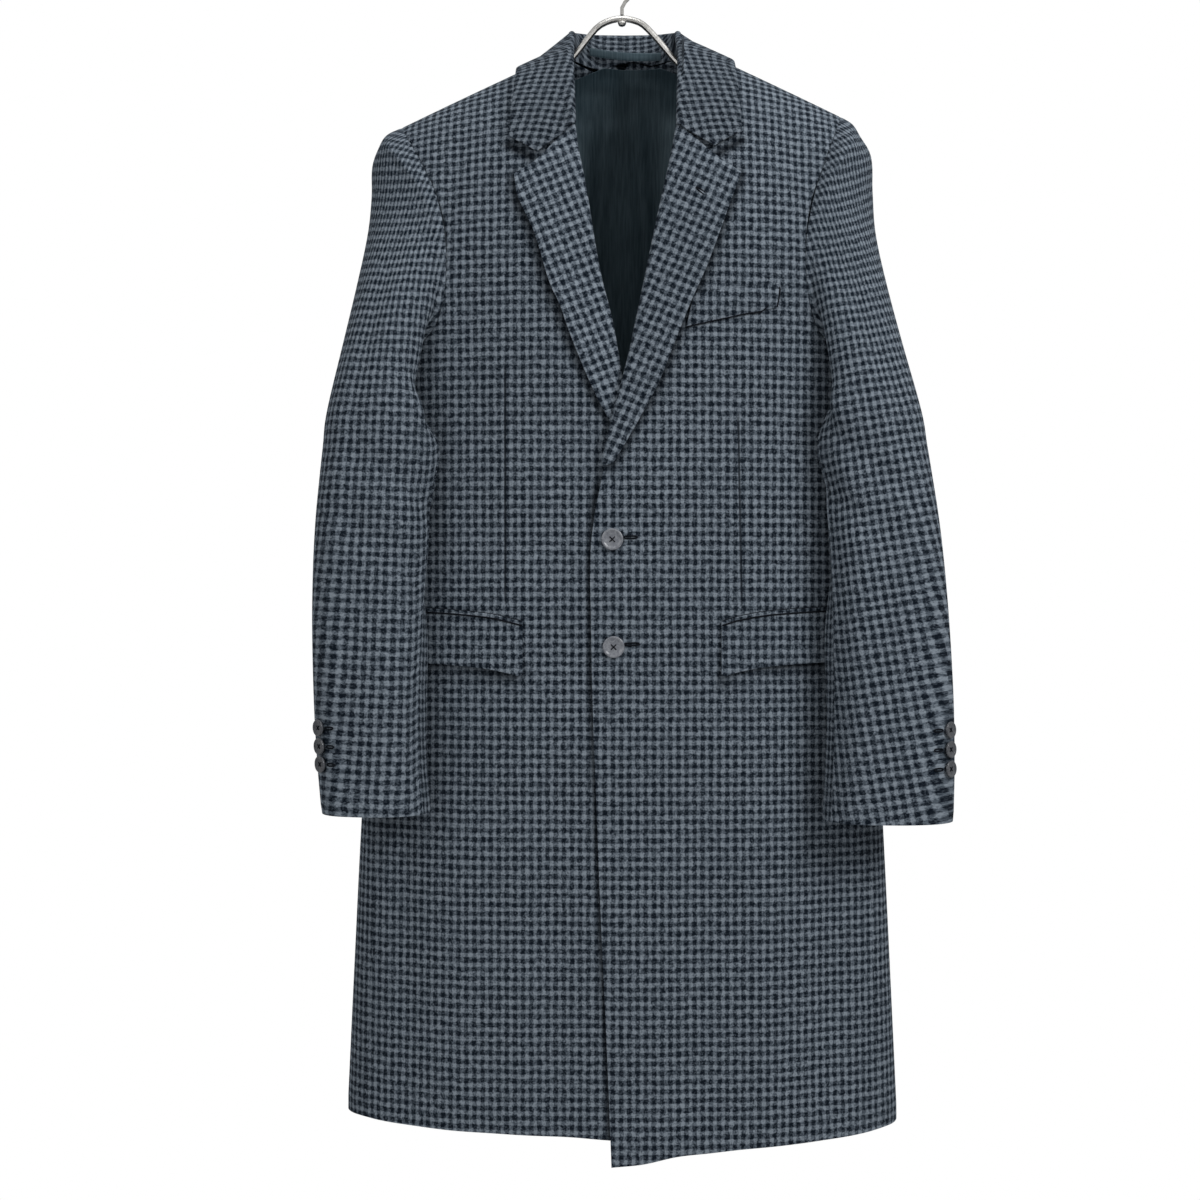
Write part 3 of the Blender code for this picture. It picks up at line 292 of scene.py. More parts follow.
def shell(name, outer, facing, uv, material, thickness=CLOTH, shade=None):
    """A sheet of cloth from a grid: the outer points, the same moved in by the thickness, and
    the edges. Facing is a rough outward direction at the grid's middle, uv the grain in metres,
    and shade how dark the painted shadow beside a folded edge is, from 0 to 1."""
    outer = outer.copy()
    for grid in (outer, outer.swapaxes(0, 1)):
        for edge, inner in ((0, 1), (-1, -2)):
            grid[edge] += REACH * unit(grid[edge] - grid[inner])
    n = grid_normals(outer)
    rows, cols = outer.shape[:2]
    n *= np.sign(np.dot(n[rows // 2, cols // 2], facing))
    k = np.arange(rows * cols).reshape(rows, cols)
    soft = np.full((rows, cols, 1), EDGE_ROUND * thickness)
    soft[1:-1, 1:-1] = 0.0
    points = np.concatenate([outer - n * soft, outer - n * (thickness - soft)]).reshape(-1, 3)
    quad = np.stack([k[:-1, :-1], k[:-1, 1:], k[1:, 1:], k[1:, :-1]], -1).reshape(-1, 4)
    loop = np.concatenate([k[0, :], k[1:, -1], k[-1, -2::-1], k[-2:0:-1, 0]])
    rim = np.stack([np.roll(loop, -1), loop, loop + rows * cols, np.roll(loop, -1) + rows * cols], -1)
    faces = np.concatenate([quad, quad[:, ::-1] + rows * cols, rim])
    a, b, c = (outer.reshape(-1, 3)[quad[:, i]] for i in (0, 1, 3))
    if np.sum(np.cross(b - a, c - a) * n.reshape(-1, 3)[quad[:, 0]]) < 0:
        faces = faces[:, ::-1]
    mesh = bpy.data.meshes.new(name)
    mesh.vertices.add(len(points))
    mesh.vertices.foreach_set("co", points.ravel())
    mesh.loops.add(faces.size)
    mesh.loops.foreach_set("vertex_index", faces.ravel())
    mesh.polygons.add(len(faces))
    mesh.polygons.foreach_set("loop_start", np.arange(0, faces.size, 4))
    mesh.update(calc_edges=True)
    flat = np.tile(uv.reshape(-1, 2), (2, 1))
    mesh.uv_layers.new(name="grain").data.foreach_set("uv", flat[faces.ravel()].ravel())
    # The painted shadow is kept on the mesh as its shade attribute.
    if shade is not None:
        painted_shadow = mesh.attributes.new("shade", "FLOAT", "POINT")
        painted_shadow.data.foreach_set("value", np.tile(shade.ravel(), 2))
    made = finished(name, mesh, material)
    mesh.set_sharp_from_angle(angle=CREASE)
    return made


# Fronts
# Two fronts of the wool, each in one piece from its edge and roll line to the side seam, with a
# long dart to the pocket. The wearer's left front laps over the other and hangs lower at the hem.
LAYER = CLOTH + LIE
SIDES = ((-1, "left"), (1, "right"))
BODY_COLUMNS = ("z", "half_width", "front", "back")
BODY = (
    (-1.150, 0.2655, 0.080, 0.074),
    (-1.000, 0.2585, 0.080, 0.072),
    (-0.845, 0.2510, 0.080, 0.070),
    (-0.700, 0.2430, 0.080, 0.068),
    (-0.560, 0.2380, 0.081, 0.066),
    (-0.420, 0.2360, 0.083, 0.066),
    (-0.300, 0.2360, 0.084, 0.066),
    (-0.170, 0.2360, 0.084, 0.066),
)
FLATNESS = 0.85  # 1 makes the body's section an ellipse, less makes its front flatter
FRONT_FALL = 0.200  # how far below the shoulder seam the front is at its full depth
BACK_FALL = 0.070
SHOULDER_TOP, SHOULDER_X, SHOULDER_SLOPE, SHOULDER_ROUND = -0.0652, 0.0105, 0.465, 0.020
ARMPIT_Z = -0.403
SIDE_SEAM = math.radians(67)  # round the body from the middle of the front
NECK_X, NECK_HALF = 0.0028, {-1: 0.0588, 1: 0.0660}  # its middle, and half widths at the shoulder
SHOULDER_POINT = {-1: -0.2120, 1: 0.2100}
EDGE_COLUMNS = ("z", "x")
OVER_EDGE = (
    (-1.1422, -0.0103), (-1.0240, -0.0148), (-0.9330, -0.0194), (-0.6960, -0.0285),
    (-0.5870, -0.0295), (-0.5350, -0.0270), (-0.5043, -0.0206), (-0.4670, -0.0108),
    (-0.4216, -0.0003), (-0.3653, 0.0115), (-0.3217, 0.0206), (-0.2726, 0.0306),
    (-0.2232, 0.0417), (-0.1883, 0.0484),
)
UNDER_EDGE = (
    (-1.1194, 0.0120), (-0.6000, 0.0095), (-0.4850, 0.0095), (-0.4520, 0.0050),
    (-0.4171, -0.0003), (-0.3571, -0.0108), (-0.3326, -0.0185), (-0.2890, -0.0267),
    (-0.2476, -0.0330), (-0.2017, -0.0422), (-0.1869, -0.0432),
)
BREAK_Z = {-1: -0.470, 1: -0.504}  # where the lapel starts to turn
GORGE_Z = {-1: -0.1869, 1: -0.1883}
ROLL, ROLL_EASE = 0.0052, 0.0007  # the fronts stop short of the roll line, inside the turned cloth
HEM_COLUMNS = ("degrees", "left", "right")
HEM = (
    (-4, -1.1200, -1.1422), (2, -1.1185, -1.1410), (10, -1.1155, -1.1330), (25, -1.1130, -1.1270),
    (67, -1.1090, -1.1200), (120, -1.1100, -1.1170), (180, -1.1140, -1.1140),
)
ARMHOLE_FRONT_COLUMNS = ("share", "left_x", "right_x", "z")
ARMHOLE_FRONT = (
    (0.00, -0.2170, 0.2170, -0.403), (0.10, -0.1985, 0.2010, -0.394),
    (0.20, -0.1780, 0.1840, -0.380), (0.32, -0.1665, 0.1725, -0.352),
    (0.45, -0.1632, 0.1690, -0.318), (0.58, -0.1645, 0.1700, -0.283),
    (0.72, -0.1720, 0.1770, -0.247), (0.86, -0.1900, 0.1905, -0.209),
)
LOWER_ROWS, UPPER_ROWS = 9, 13  # of a panel, below the armpit and above it


def column(table, columns, name, at, key=None):
    """A table's column read at given values of its first or key column."""
    rows = np.array(table, float)
    return np.interp(at, rows[:, columns.index(key or columns[0])], rows[:, columns.index(name)])


def body(z, name):
    """A measure of the body's section at a height."""
    return column(BODY, BODY_COLUMNS, name, z)


def shoulder(x):
    """The height of the shoulder line."""
    return SHOULDER_TOP - SHOULDER_SLOPE * np.hypot(np.asarray(x) - SHOULDER_X, SHOULDER_ROUND)


def over_edge(z):
    """x of the edge of the front that lies on top."""
    return column(OVER_EDGE, EDGE_COLUMNS, "x", z)


def under_edge(z):
    """x of the edge of the front underneath."""
    return column(UNDER_EDGE, EDGE_COLUMNS, "x", z)


def tuck(x, z):
    """How far the left front is set back where the right one lies over it."""
    ramp = smoothstep((x - over_edge(z) + 0.092) / 0.080)
    layers = LAYER + 0.0005 + (LAYER + 0.0020) * smoothstep((z + 0.54) / 0.05)
    return ramp * layers * smoothstep((-0.25 - z) / 0.08)


def depth(x, z, side, left=False):
    """y of the body at x, z: -1 is the front, 1 the back. The left front is set back."""
    reach, fall = (body(z, "front"), FRONT_FALL) if side < 0 else (body(z, "back"), BACK_FALL)
    across = np.clip(1 - (x / body(z, "half_width")) ** 2, 0, 1) ** (FLATNESS / 2)
    below = np.clip(shoulder(x) - z, 0, fall)
    y = side * reach * across * np.sqrt(np.maximum(1 - (1 - below / fall) ** 2, 0))
    return y + tuck(x, z) if left else y


def normal(x, z, side, left=False, h=2e-6):
    """The outward normal of the body at x, z."""
    fx = (depth(x + h, z, side, left) - depth(x - h, z, side, left)) / (2 * h)
    fz = (depth(x, z + h, side, left) - depth(x, z - h, side, left)) / (2 * h)
    return unit(np.stack([fx, -np.ones_like(fx), fz], -1) * -side)


def on_body(x, z, side, left=False):
    """Points of the body at x, z, and the normals there."""
    return np.stack([x, depth(x, z, side, left), z], -1), normal(x, z, side, left)


def armhole_front(side, share):
    """x and z of the front armhole, from the side seam up to the shoulder point."""
    top = SHOULDER_POINT[side]
    rows = ARMHOLE_FRONT + ((1.0, SHOULDER_POINT[-1], SHOULDER_POINT[1], float(shoulder(top))),)
    x = column(rows, ARMHOLE_FRONT_COLUMNS, "left_x" if side < 0 else "right_x", share)
    start = side * float(body(ARMPIT_Z, "half_width")) * math.sin(SIDE_SEAM)
    x = x + (start - rows[0][1 if side < 0 else 2]) * np.clip(1 - share / 0.1, 0, 1)
    return x, column(rows, ARMHOLE_FRONT_COLUMNS, "z", share)


def hem(side, angle):
    """The height of the hem at an angle round the body."""
    return column(HEM, HEM_COLUMNS, "left" if side < 0 else "right", np.degrees(angle))


def upper_rows(count):
    """Shares of the way from armpit to shoulder seam, closer together as the body rounds over."""
    return np.sin(np.linspace(0, math.pi / 2, count + 1))[1:]


def body_grid(angle_in, z_in, angle_out, z_out, cols, side):
    """Angles, x and heights of a panel: straight rows from the hem to the armpit, and above it
    rows that bend to the shoulder line."""
    s = np.linspace(0, 1, cols + 1)
    angle = angle_in[:, None] * (1 - s) + angle_out[:, None] * s
    z = z_in[:, None] * (1 - s) + z_out[:, None] * s
    foot = hem(side, angle)
    down = np.linspace(1, 0, LOWER_ROWS + 1)[:, None]
    z[: LOWER_ROWS + 1] = ARMPIT_Z + (foot[: LOWER_ROWS + 1] - ARMPIT_Z) * down
    x = side * body(z, "half_width") * np.sin(angle)
    below_in = (shoulder(x[:, 0]) - z_in)[:, None]
    below_out = (shoulder(x[:, -1]) - z_out)[:, None]
    bent = shoulder(x) - (below_in * (1 - s) + below_out * s)
    blend = np.concatenate([np.zeros(LOWER_ROWS + 1), upper_rows(UPPER_ROWS)])[:, None]
    z = z * (1 - blend) + bent * blend
    return angle, side * body(z, "half_width") * np.sin(angle), z


def turned_back(side, z):
    """0 on the plain front edge, 1 where the lapel is turned back, with a soft change between."""
    return smoothstep((z - BREAK_Z[side] - 0.004) / 0.03)


def roll_edge(side, z):
    """x of the lapel's roll line."""
    return over_edge(z) if side > 0 else under_edge(z)


def front_edge(side):
    """Height and x of each row of a front at its edge, its roll line and its neck seam."""
    neck = NECK_X + side * NECK_HALF[side]
    z_low = np.linspace(-1.14 if side > 0 else -1.119, ARMPIT_Z, LOWER_ROWS + 1)
    z = np.concatenate([z_low, ARMPIT_Z + (shoulder(neck) - ARMPIT_Z) * upper_rows(UPPER_ROWS)])
    up = np.clip((z - GORGE_Z[side]) / (shoulder(neck) - GORGE_Z[side]), 0, 1)
    return z, (roll_edge(side, z) + side * ROLL * turned_back(side, z)) * (1 - up) + neck * up


def front_panel(side, cols=11):
    """One front, from its edge and roll line out to the side seam and the armhole."""
    share = upper_rows(UPPER_ROWS)
    z_in, x_in = front_edge(side)
    z_low = z_in[: LOWER_ROWS + 1]
    angle_in = np.arcsin(side * x_in / body(z_in, "half_width"))
    x_out, z_arm = armhole_front(side, share)
    angle_arm = np.arcsin(side * x_out / body(z_arm, "half_width"))
    angle_out = np.concatenate([np.full(LOWER_ROWS + 1, SIDE_SEAM - SEAM), angle_arm])
    z_out = np.concatenate([z_low, z_arm])
    _, x, z = body_grid(angle_in, z_in, angle_out, z_out, cols, side)
    outer = on_body(x, z, -1, side < 0)[0]
    outer[-1, :, 1] -= SEAM / 2
    return outer


MOST = 0.995  # the share of a half ellipse that its length is worked out for
SHARE = np.linspace(0, MOST, 400)


def surplus(rise):
    """How much longer a curve is than its base: its steps' lengths added up, less the base."""
    return np.concatenate([[0], np.cumsum(np.hypot(np.diff(SHARE), np.diff(rise)))]) - SHARE


GIRTH = surplus(0.352 * (1 - SHARE**2) ** (FLATNESS / 2))
DEEP = {FRONT_FALL: 0.42, BACK_FALL: 0.94}  # the body's depth over the fall of its shoulder
CLIMB = {fall: surplus(deep * np.sqrt(1 - SHARE**2)) for fall, deep in DEEP.items()}


def grain(p, side):
    """The check's place on the body: the length round it from the middle, and the length up it."""
    half = body(p[..., 2], "half_width")
    fall = FRONT_FALL if side < 0 else BACK_FALL
    up = np.clip(1 - (shoulder(p[..., 0]) - p[..., 2]) / fall, 0, MOST)
    aside = np.sign(p[..., 0]) * np.interp(np.abs(p[..., 0]) / half, SHARE, GIRTH) * half
    return np.stack([p[..., 0] + aside, p[..., 2] + fall * np.interp(up, SHARE, CLIMB[fall])], -1)


def trough(x, z, at, length, width, depth, lean=0.0):
    """A soft furrow from a place, upright or leaning; a negative depth is a ridge."""
    across = (x - at[0]) * math.cos(lean) + (z - at[1]) * math.sin(lean)
    onward = (z - at[1]) * math.cos(lean) - (x - at[0]) * math.sin(lean)
    return depth * np.exp(-((across / width) ** 2)) * np.exp(-((onward / length) ** 4))


# x and z along the lapels' outer edges and the flaps' top edges.
LAPEL_EDGE = {
    -1: ((-0.0050, -0.4720), (-0.0257, -0.4334), (-0.0467, -0.3842), (-0.0572, -0.3549),
         (-0.0677, -0.3320), (-0.0807, -0.2889), (-0.0957, -0.2557), (-0.0996, -0.2331)),
    1: ((-0.0100, -0.4990), (0.0025, -0.4788), (0.0297, -0.4297), (0.0443, -0.3942),
        (0.0607, -0.3531), (0.0763, -0.3182), (0.0939, -0.2701), (0.1080, -0.2316)),
}
NOTCH = {-1: (-0.0792, -0.2205), 1: (0.0837, -0.2154)}
COLLAR_POINT = {-1: (-0.1052, -0.2028), 1: (0.1094, -0.1993)}
NOTCH_GAP = 0.0004
FLAP = {
    -1: ((-0.0925, -0.6470), (-0.1204, -0.6405), (-0.1494, -0.6372), (-0.1800, -0.6352),
         (-0.2100, -0.6345)),
    1: ((0.0906, -0.6470), (0.1082, -0.6420), (0.1362, -0.6375), (0.1800, -0.6345),
        (0.2120, -0.6335)),
}
FLAP_HEIGHT, FLAP_CORNER, JET_HEIGHT = 0.0465, 0.006, 0.0035


def beside(x, z, line, reach):
    """1 on a line through the given points and less beside it, as a bell of that half width."""
    line = along(line, np.linspace(0, 1, 90))
    away = np.min(np.hypot(x[..., None] - line[:, 0], z[..., None] - line[:, 1]), -1)
    return np.exp(-((away / reach) ** 2))


# Creases as place, length, width, depth and lean: long soft hanging folds, and drag at the button.
FRONT_FOLDS = {
    -1: (
        ((-0.060, -0.93), 0.20, 0.022, 0.0030, 0.02), ((-0.150, -0.97), 0.16, 0.026, -0.0030, -0.03),
        ((-0.205, -0.88), 0.20, 0.016, 0.0028, 0.03), ((-0.130, -0.50), 0.13, 0.018, 0.0016, 0.06),
        ((-0.070, -0.58), 0.05, 0.010, 0.0012, 1.25), ((-0.165, -0.26), 0.07, 0.012, 0.0022, -0.25),
    ),
    1: (
        ((0.060, -0.95), 0.19, 0.024, 0.0032, -0.02), ((0.130, -0.90), 0.22, 0.020, -0.0026, 0.02),
        ((0.195, -0.96), 0.15, 0.018, 0.0034, -0.04), ((0.150, -0.52), 0.14, 0.020, 0.0016, -0.05),
        ((0.050, -0.62), 0.06, 0.011, 0.0012, -1.2), ((0.175, -0.25), 0.08, 0.013, 0.0024, 0.22),
    ),
}
CHEST_HALF = 0.236  # half the body's width at the chest
FINE_ROWS, FINE_COLS = 6, 7  # how many times finer the cloth's grid is than the panel's


def creased(p, n, folds, held_x):
    """The panel pushed in by its folds, which fade out from held_x in and towards the side."""
    away = np.abs(p[..., 0])
    held = smoothstep((away - held_x) / 0.05) * smoothstep((CHEST_HALF - away) / 0.03)
    push = sum(trough(p[..., 0], p[..., 2], *fold) for fold in folds)
    return p - n * (push * held)[..., None]


# How dark the painted shadow beside a folded edge is, and how far that reaches.
BY_LAPEL, BY_NOTCH = (0.80, 0.0050), (0.85, 0.0040)
BELOW_FLAP, BY_EDGE = (0.62, 0.0050), (0.85, 0.0038)
TOWARDS_LENS = (0.0, -1.0, 0.0)
# Darts, each a furrow with painted shade along it, as x, top z, low z and lean.
DARTS = {-1: ((-0.1083, -0.399, -0.634, 0.0),), 1: ((0.1052, -0.4449, -0.6373, 0.020),)}
for side, name in SIDES:
    p = finer(front_panel(side), FINE_ROWS, FINE_COLS)
    uv = grain(p, -1)
    n = grid_normals(p)
    n *= np.sign(-n[60, 30, 1])  # a corner on the flat of the front
    p = creased(p, n, FRONT_FOLDS[side], 0.035)
    x, z = p[..., 0], p[..., 2]
    # Painted shadow on the fronts beside the lapels' edges, the notches and under the flaps, and on the
    # under front beside the over front's edge.
    low = [(at[0], at[1] - FLAP_HEIGHT - 0.003) for at in FLAP[side]]
    notch = (NOTCH[side], COLLAR_POINT[side])
    edges = ((LAPEL_EDGE[side], BY_LAPEL), (notch, BY_NOTCH), (low, BELOW_FLAP))
    shade = np.max([dark * beside(x, z, line, reach) for line, (dark, reach) in edges], 0)
    if side < 0:
        edge = np.exp(-(((x - over_edge(z)) / BY_EDGE[1]) ** 2)) * smoothstep((-0.50 - z) / 0.02)
        shade = np.maximum(shade, BY_EDGE[0] * edge)
    cloth = wool(f"wool front {name}", 1.0, DARTS[side])
    front = shell(f"front_{name}_cloth", p, TOWARDS_LENS, uv, cloth, shade=shade)
    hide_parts(f"front_{name}")


# Back and its lining
# The back is in two halves with a centre seam and wraps round the sides to the fronts. A dark
# satin lining with its own centre seam hangs just inside it and shows in the neck.
ARMHOLE_BACK_COLUMNS = ("share", "degrees", "z")
ARMHOLE_BACK = (
    (0.00, 67, -0.403), (0.12, 78, -0.391), (0.24, 92, -0.375), (0.36, 108, -0.356),
    (0.48, 123, -0.332), (0.60, 130, -0.303), (0.72, 131, -0.268), (0.85, 126, -0.222),
)
BACK_NECK_COLUMNS = ("share", "below_shoulder")
BACK_NECK = ((0.0, 0.0178), (0.45, 0.0174), (0.74, 0.0078), (0.93, 0.0016), (1.0, 0.0))


def armhole_back(side, share):
    """Angle round the body, in radians, and z of the back armhole."""
    top = SHOULDER_POINT[side]
    z = float(shoulder(top))
    turn = 180 - math.degrees(math.asin(abs(top) / float(body(z, "half_width"))))
    rows = ARMHOLE_BACK + ((1.0, turn, z),)
    angle = np.radians(column(rows, ARMHOLE_BACK_COLUMNS, "degrees", share))
    return angle, column(rows, ARMHOLE_BACK_COLUMNS, "z", share)


def back_panel(side, cols=13):
    """One half of the back, from the centre seam round the side to the front's side seam."""
    share = upper_rows(UPPER_ROWS)
    z_low = np.linspace(-1.114, ARMPIT_Z, LOWER_ROWS + 1)
    rise, turn = np.clip(share / 0.8, 0, 1), np.clip((share - 0.8) / 0.2, 0, 1)
    neck_x = (NECK_X + side * NECK_HALF[side]) * turn
    neck_z = shoulder(neck_x) - column(BACK_NECK, BACK_NECK_COLUMNS, "below_shoulder", turn)
    centre_z = float(shoulder(0.0)) - BACK_NECK[0][1]
    z_up = np.where(turn > 0, neck_z, ARMPIT_Z + (centre_z - ARMPIT_Z) * rise)
    z_in = np.concatenate([z_low, z_up])
    x_up = np.where(turn > 0, neck_x, side * SEAM / 2)
    x_in = np.concatenate([np.full(LOWER_ROWS + 1, side * SEAM / 2), x_up])
    angle_in = math.pi - np.arcsin(side * x_in / body(z_in, "half_width"))
    angle_arm, z_arm = armhole_back(side, share)
    angle_out = np.concatenate([np.full(LOWER_ROWS + 1, SIDE_SEAM + SEAM), angle_arm])
    z_out = np.concatenate([z_low, z_arm])
    angle, x, z = body_grid(angle_in, z_in, angle_out, z_out, cols, side)
    ahead = (angle <= math.pi / 2)[..., None]
    outer = np.where(ahead, on_body(x, z, -1)[0], on_body(x, z, 1)[0])
    outer[-1, :, 1] += SEAM / 2
    return outer


BACK_FOLDS = {
    -1: (
        ((-0.070, -0.85), 0.26, 0.024, 0.0034, 0.02), ((-0.150, -0.90), 0.20, 0.022, -0.0030, -0.02),
        ((-0.150, -0.33), 0.09, 0.016, 0.0030, -0.35), ((-0.105, -0.55), 0.14, 0.020, 0.0022, 0.05),
    ),
    1: (
        ((0.080, -0.88), 0.24, 0.026, 0.0036, -0.03), ((0.160, -0.86), 0.22, 0.020, -0.0028, 0.02),
        ((0.155, -0.34), 0.10, 0.015, 0.0028, 0.35), ((0.110, -0.58), 0.15, 0.022, 0.0022, -0.04),
    ),
}
for side, name in SIDES:
    p = finer(back_panel(side), FINE_ROWS, FINE_COLS)
    ahead = p[..., 1:2] < 0
    # Where the back comes round to the front, its check goes on from the side.
    round_side = 2 * CHEST_HALF * (1 + GIRTH[-1]) * side
    uv = np.where(ahead, [round_side, 0.0] + grain(p, -1) * [-1.0, 1.0], grain(p, 1))
    n = grid_normals(p)
    n *= np.sign(n[40, 10, 1])  # a corner well behind
    p = np.where(ahead, p, creased(p, n, BACK_FOLDS[side], 0.012))
    facing = n[n.shape[0] // 2, n.shape[1] // 2]
    # The back's wool is a slightly darker copy: painted shade.
    back = shell(f"back_{name}_cloth", p, facing, uv, wool(f"wool back {name}", 0.96))
    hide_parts(f"back_{name}")


def satin(name):
    """A dark smooth weave: a gloss stretched along the cloth, and ripples too slight to model."""
    g = Graph(name, 0.42)
    place = g.on_cloth()
    thread = g.noise(g.node("ShaderNodeMapping", n0=place, n3=(1.0, 0.06, 1.0)), 600.0, 2.0)
    ripple = g.noise(place, 26.0, 3.0)
    colour = g.mix(g.ramp(thread, 0.3, 0.7), (0.0180, 0.0330, 0.0430), (0.0400, 0.0620, 0.0760))
    g.bump(g.math("ADD", g.times(thread, 0.04), ripple), 0.35, 0.0022)
    tint = (0.62, 0.80, 0.90, 1.0)
    return g.surface(Base_Color=colour, Anisotropic=0.6, Specular_IOR_Level=0.42, Specular_Tint=tint)


LINING, LINING_LOW, LINING_HALF = 0.001, -0.520, 0.150  # thickness, lower end, half width
LINING_TOP = 0.013  # how far below the shoulder line it ends


def lining(side, rows, cols):
    """The back lining on one side of its centre seam, just inside the back."""
    x = side * np.linspace(SEAM, LINING_HALF, cols + 1)
    top = shoulder(0.0) - BACK_NECK[0][1] - 0.0015
    high = np.minimum(top, shoulder(x) - LINING_TOP)
    s = np.linspace(0, 1, rows + 1)[:, None]
    z = LINING_LOW + (high - LINING_LOW) * s
    x = np.broadcast_to(x, z.shape)
    p, n = on_body(x, z, 1)
    ease = 0.0006 + 0.0014 * smoothstep((z + 0.32) / 0.08) + 0.0018 * smoothstep((z + 0.18) / 0.03)
    return p - n * (CLOTH + LIE + LINING + ease[..., None])


# Its folds beside the centre seam, as place, length, width, depth and lean: two that hang, with
# the other half's as their mirror, and a crease across its top that runs on over the seam.
LINING_FOLDS = (
    ((0.026, -0.28), 0.17, 0.009, 0.0030, 0.08), ((0.052, -0.25), 0.14, 0.010, 0.0034, -0.05),
    ((0.020, -0.114), 0.020, 0.0030, 0.0014, 1.5),
)


for side, name in SIDES:
    p = lining(side, 90, 60)
    uv, x, z = p[..., [0, 2]], p[..., 0], p[..., 2]
    wave = sum(
        trough(x, z, (side * at[0], at[1]), length, width, deep, lean if lean > 1 else side * lean)
        for at, length, width, deep, lean in LINING_FOLDS
    )
    p[..., 1] -= wave * smoothstep((np.abs(x) - 0.001) / 0.006)
    cloth = satin(f"satin {name}")
    satin_lining = shell(f"back_lining_{name}_cloth", p, TOWARDS_LENS, uv, cloth, LINING)
    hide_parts(f"back_lining_{name}")


# Lapels
# Notch lapels: each front's edge is turned back along the roll line and lies on the front, with
# the check running along the lapel's outer edge. The wearer's left one has a buttonhole.
def lapel(side, rows=15, cols=6, wrap=4):
    """A lapel: it turns round the front's cut edge at the roll line and lies on the front."""
    left = side < 0
    z_roll = np.linspace(BREAK_Z[side] + 0.004, GORGE_Z[side] - NOTCH_GAP, rows + 1)
    s = np.linspace(0, 1, rows + 1)
    x_roll = np.interp(z_roll, *front_edge(side))
    out = along(LAPEL_EDGE[side], s)
    w = np.linspace(0, 1, cols + 1)
    x = x_roll[:, None] * (1 - w) + out[:, :1] * w
    z = z_roll[:, None] * (1 - w) + out[:, 1:] * w
    notch_at = (abs(NOTCH[side][0]) - abs(x_roll[-1])) / (abs(out[-1, 0]) - abs(x_roll[-1]))
    top_z = np.interp(w, (0, notch_at, 1), (z_roll[-1], NOTCH[side][1] - NOTCH_GAP, out[-1, 1]))
    z = z + (top_z - z[-1]) * smoothstep((s - 0.72) / 0.28)[:, None]
    swell = np.sin(math.pi * np.clip(s * 1.1, 0, 1))[:, None]
    lift = LAYER + 0.0008 * (1 - s)[:, None] + 0.0015 * swell * w
    p, n = on_body(x, z, -1, left)
    flat = p + n * lift[..., None]
    flat[:, :, 0], flat[:, :, 2] = x, z
    edge, edge_n = on_body(x_roll, z_roll, -1, left)
    middle = edge - edge_n * CLOTH / 2
    away = np.cross(unit(np.gradient(middle, axis=0)), edge_n) * side
    away *= np.sign(-side * away[:, :1])
    radius = CLOTH / 2 + LAYER
    a = np.radians(np.linspace(100, 0, wrap + 1))[:-1, None]
    middle = middle + away * ROLL_EASE
    rolled = middle[:, None] + radius * (np.cos(a) * edge_n[:, None] + np.sin(a) * away[:, None])
    return np.concatenate([rolled, flat], 1)


def rotated(across, up, angle):
    """Places on the cloth, turned by an angle so that its check leans."""
    c, s = np.cos(angle), np.sin(angle)
    return np.stack([across * c + up * s, up * c - across * s], -1)


FREE_LIFT, FREE_REACH = 0.0042, 0.055


def lifted(x, z, side):
    """How far the turned cloth stands off towards its free edge, from the roll line out."""
    return FREE_LIFT * smoothstep((np.abs(x) - np.abs(roll_edge(side, z))) / FREE_REACH)


LAPEL_TURN = {-1: math.radians(21.6), 1: math.radians(-23.8)}
# Each lapel's wool is a lighter or darker copy: painted light and shade.
LAPEL_PAINTED_LIGHT = {-1: 1.12, 1: 0.98}
for side, name in SIDES:
    p = finer(lapel(side), 6, 6)
    x, z = p[..., 0], p[..., 2]
    uv = rotated(x, z, LAPEL_TURN[side])
    p[..., 1] -= lifted(x, z, side)
    cloth = wool(f"wool lapel {name}", LAPEL_PAINTED_LIGHT[side])
    folded = shell(f"lapel_{name}_cloth", p, TOWARDS_LENS, uv, cloth)
    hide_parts(f"lapel_{name}")


# Collar
# One folded sheet: the stand goes up inside from the neck seam, turns over a soft roll, and the
# fall lies on the back and shoulders and ends in front in two blunt points above the notches.
COLLAR_COLUMNS = (
    "fold_x", "fold_y", "fold_z", "top_x", "top_z", "out_x", "out_y", "edge_x", "edge_turn",
)
COLLAR = (
    (0.0000, 0.0590, -0.0590, 0.0, 1.0, 0.0, 1.0, 0.0000, 66),
    (-0.0300, 0.0550, -0.0598, 0.0, 1.0, -0.5, 0.9, -0.0520, 49),
    (-0.0455, 0.0385, -0.0640, 0.0, 1.0, -0.9, 0.5, -0.0850, 28),
    (-0.0508, 0.0195, -0.0700, 0.1, 1.0, -1.0, 0.2, -0.0985, 12),
    (-0.0496, 0.0000, -0.0774, 0.4, 1.0, -1.0, -0.2, -0.1030, -6),
    (-0.0486, -0.0380, -0.1150, 1.0, 0.6, -0.4, -1.0, -0.1038, -28),
    (-0.0473, -0.0600, -0.1500, 1.0, 0.2, -0.2, -1.0, -0.1055, -42),
    (-0.0462, -0.0735, -0.1869, 1.0, 0.0, 0.0, -1.0, -0.1080, -54),
)
FOLD_RADIUS = 0.0034
COLLAR_LIFT = 0.0020  # how far the collar's fall stands off the body


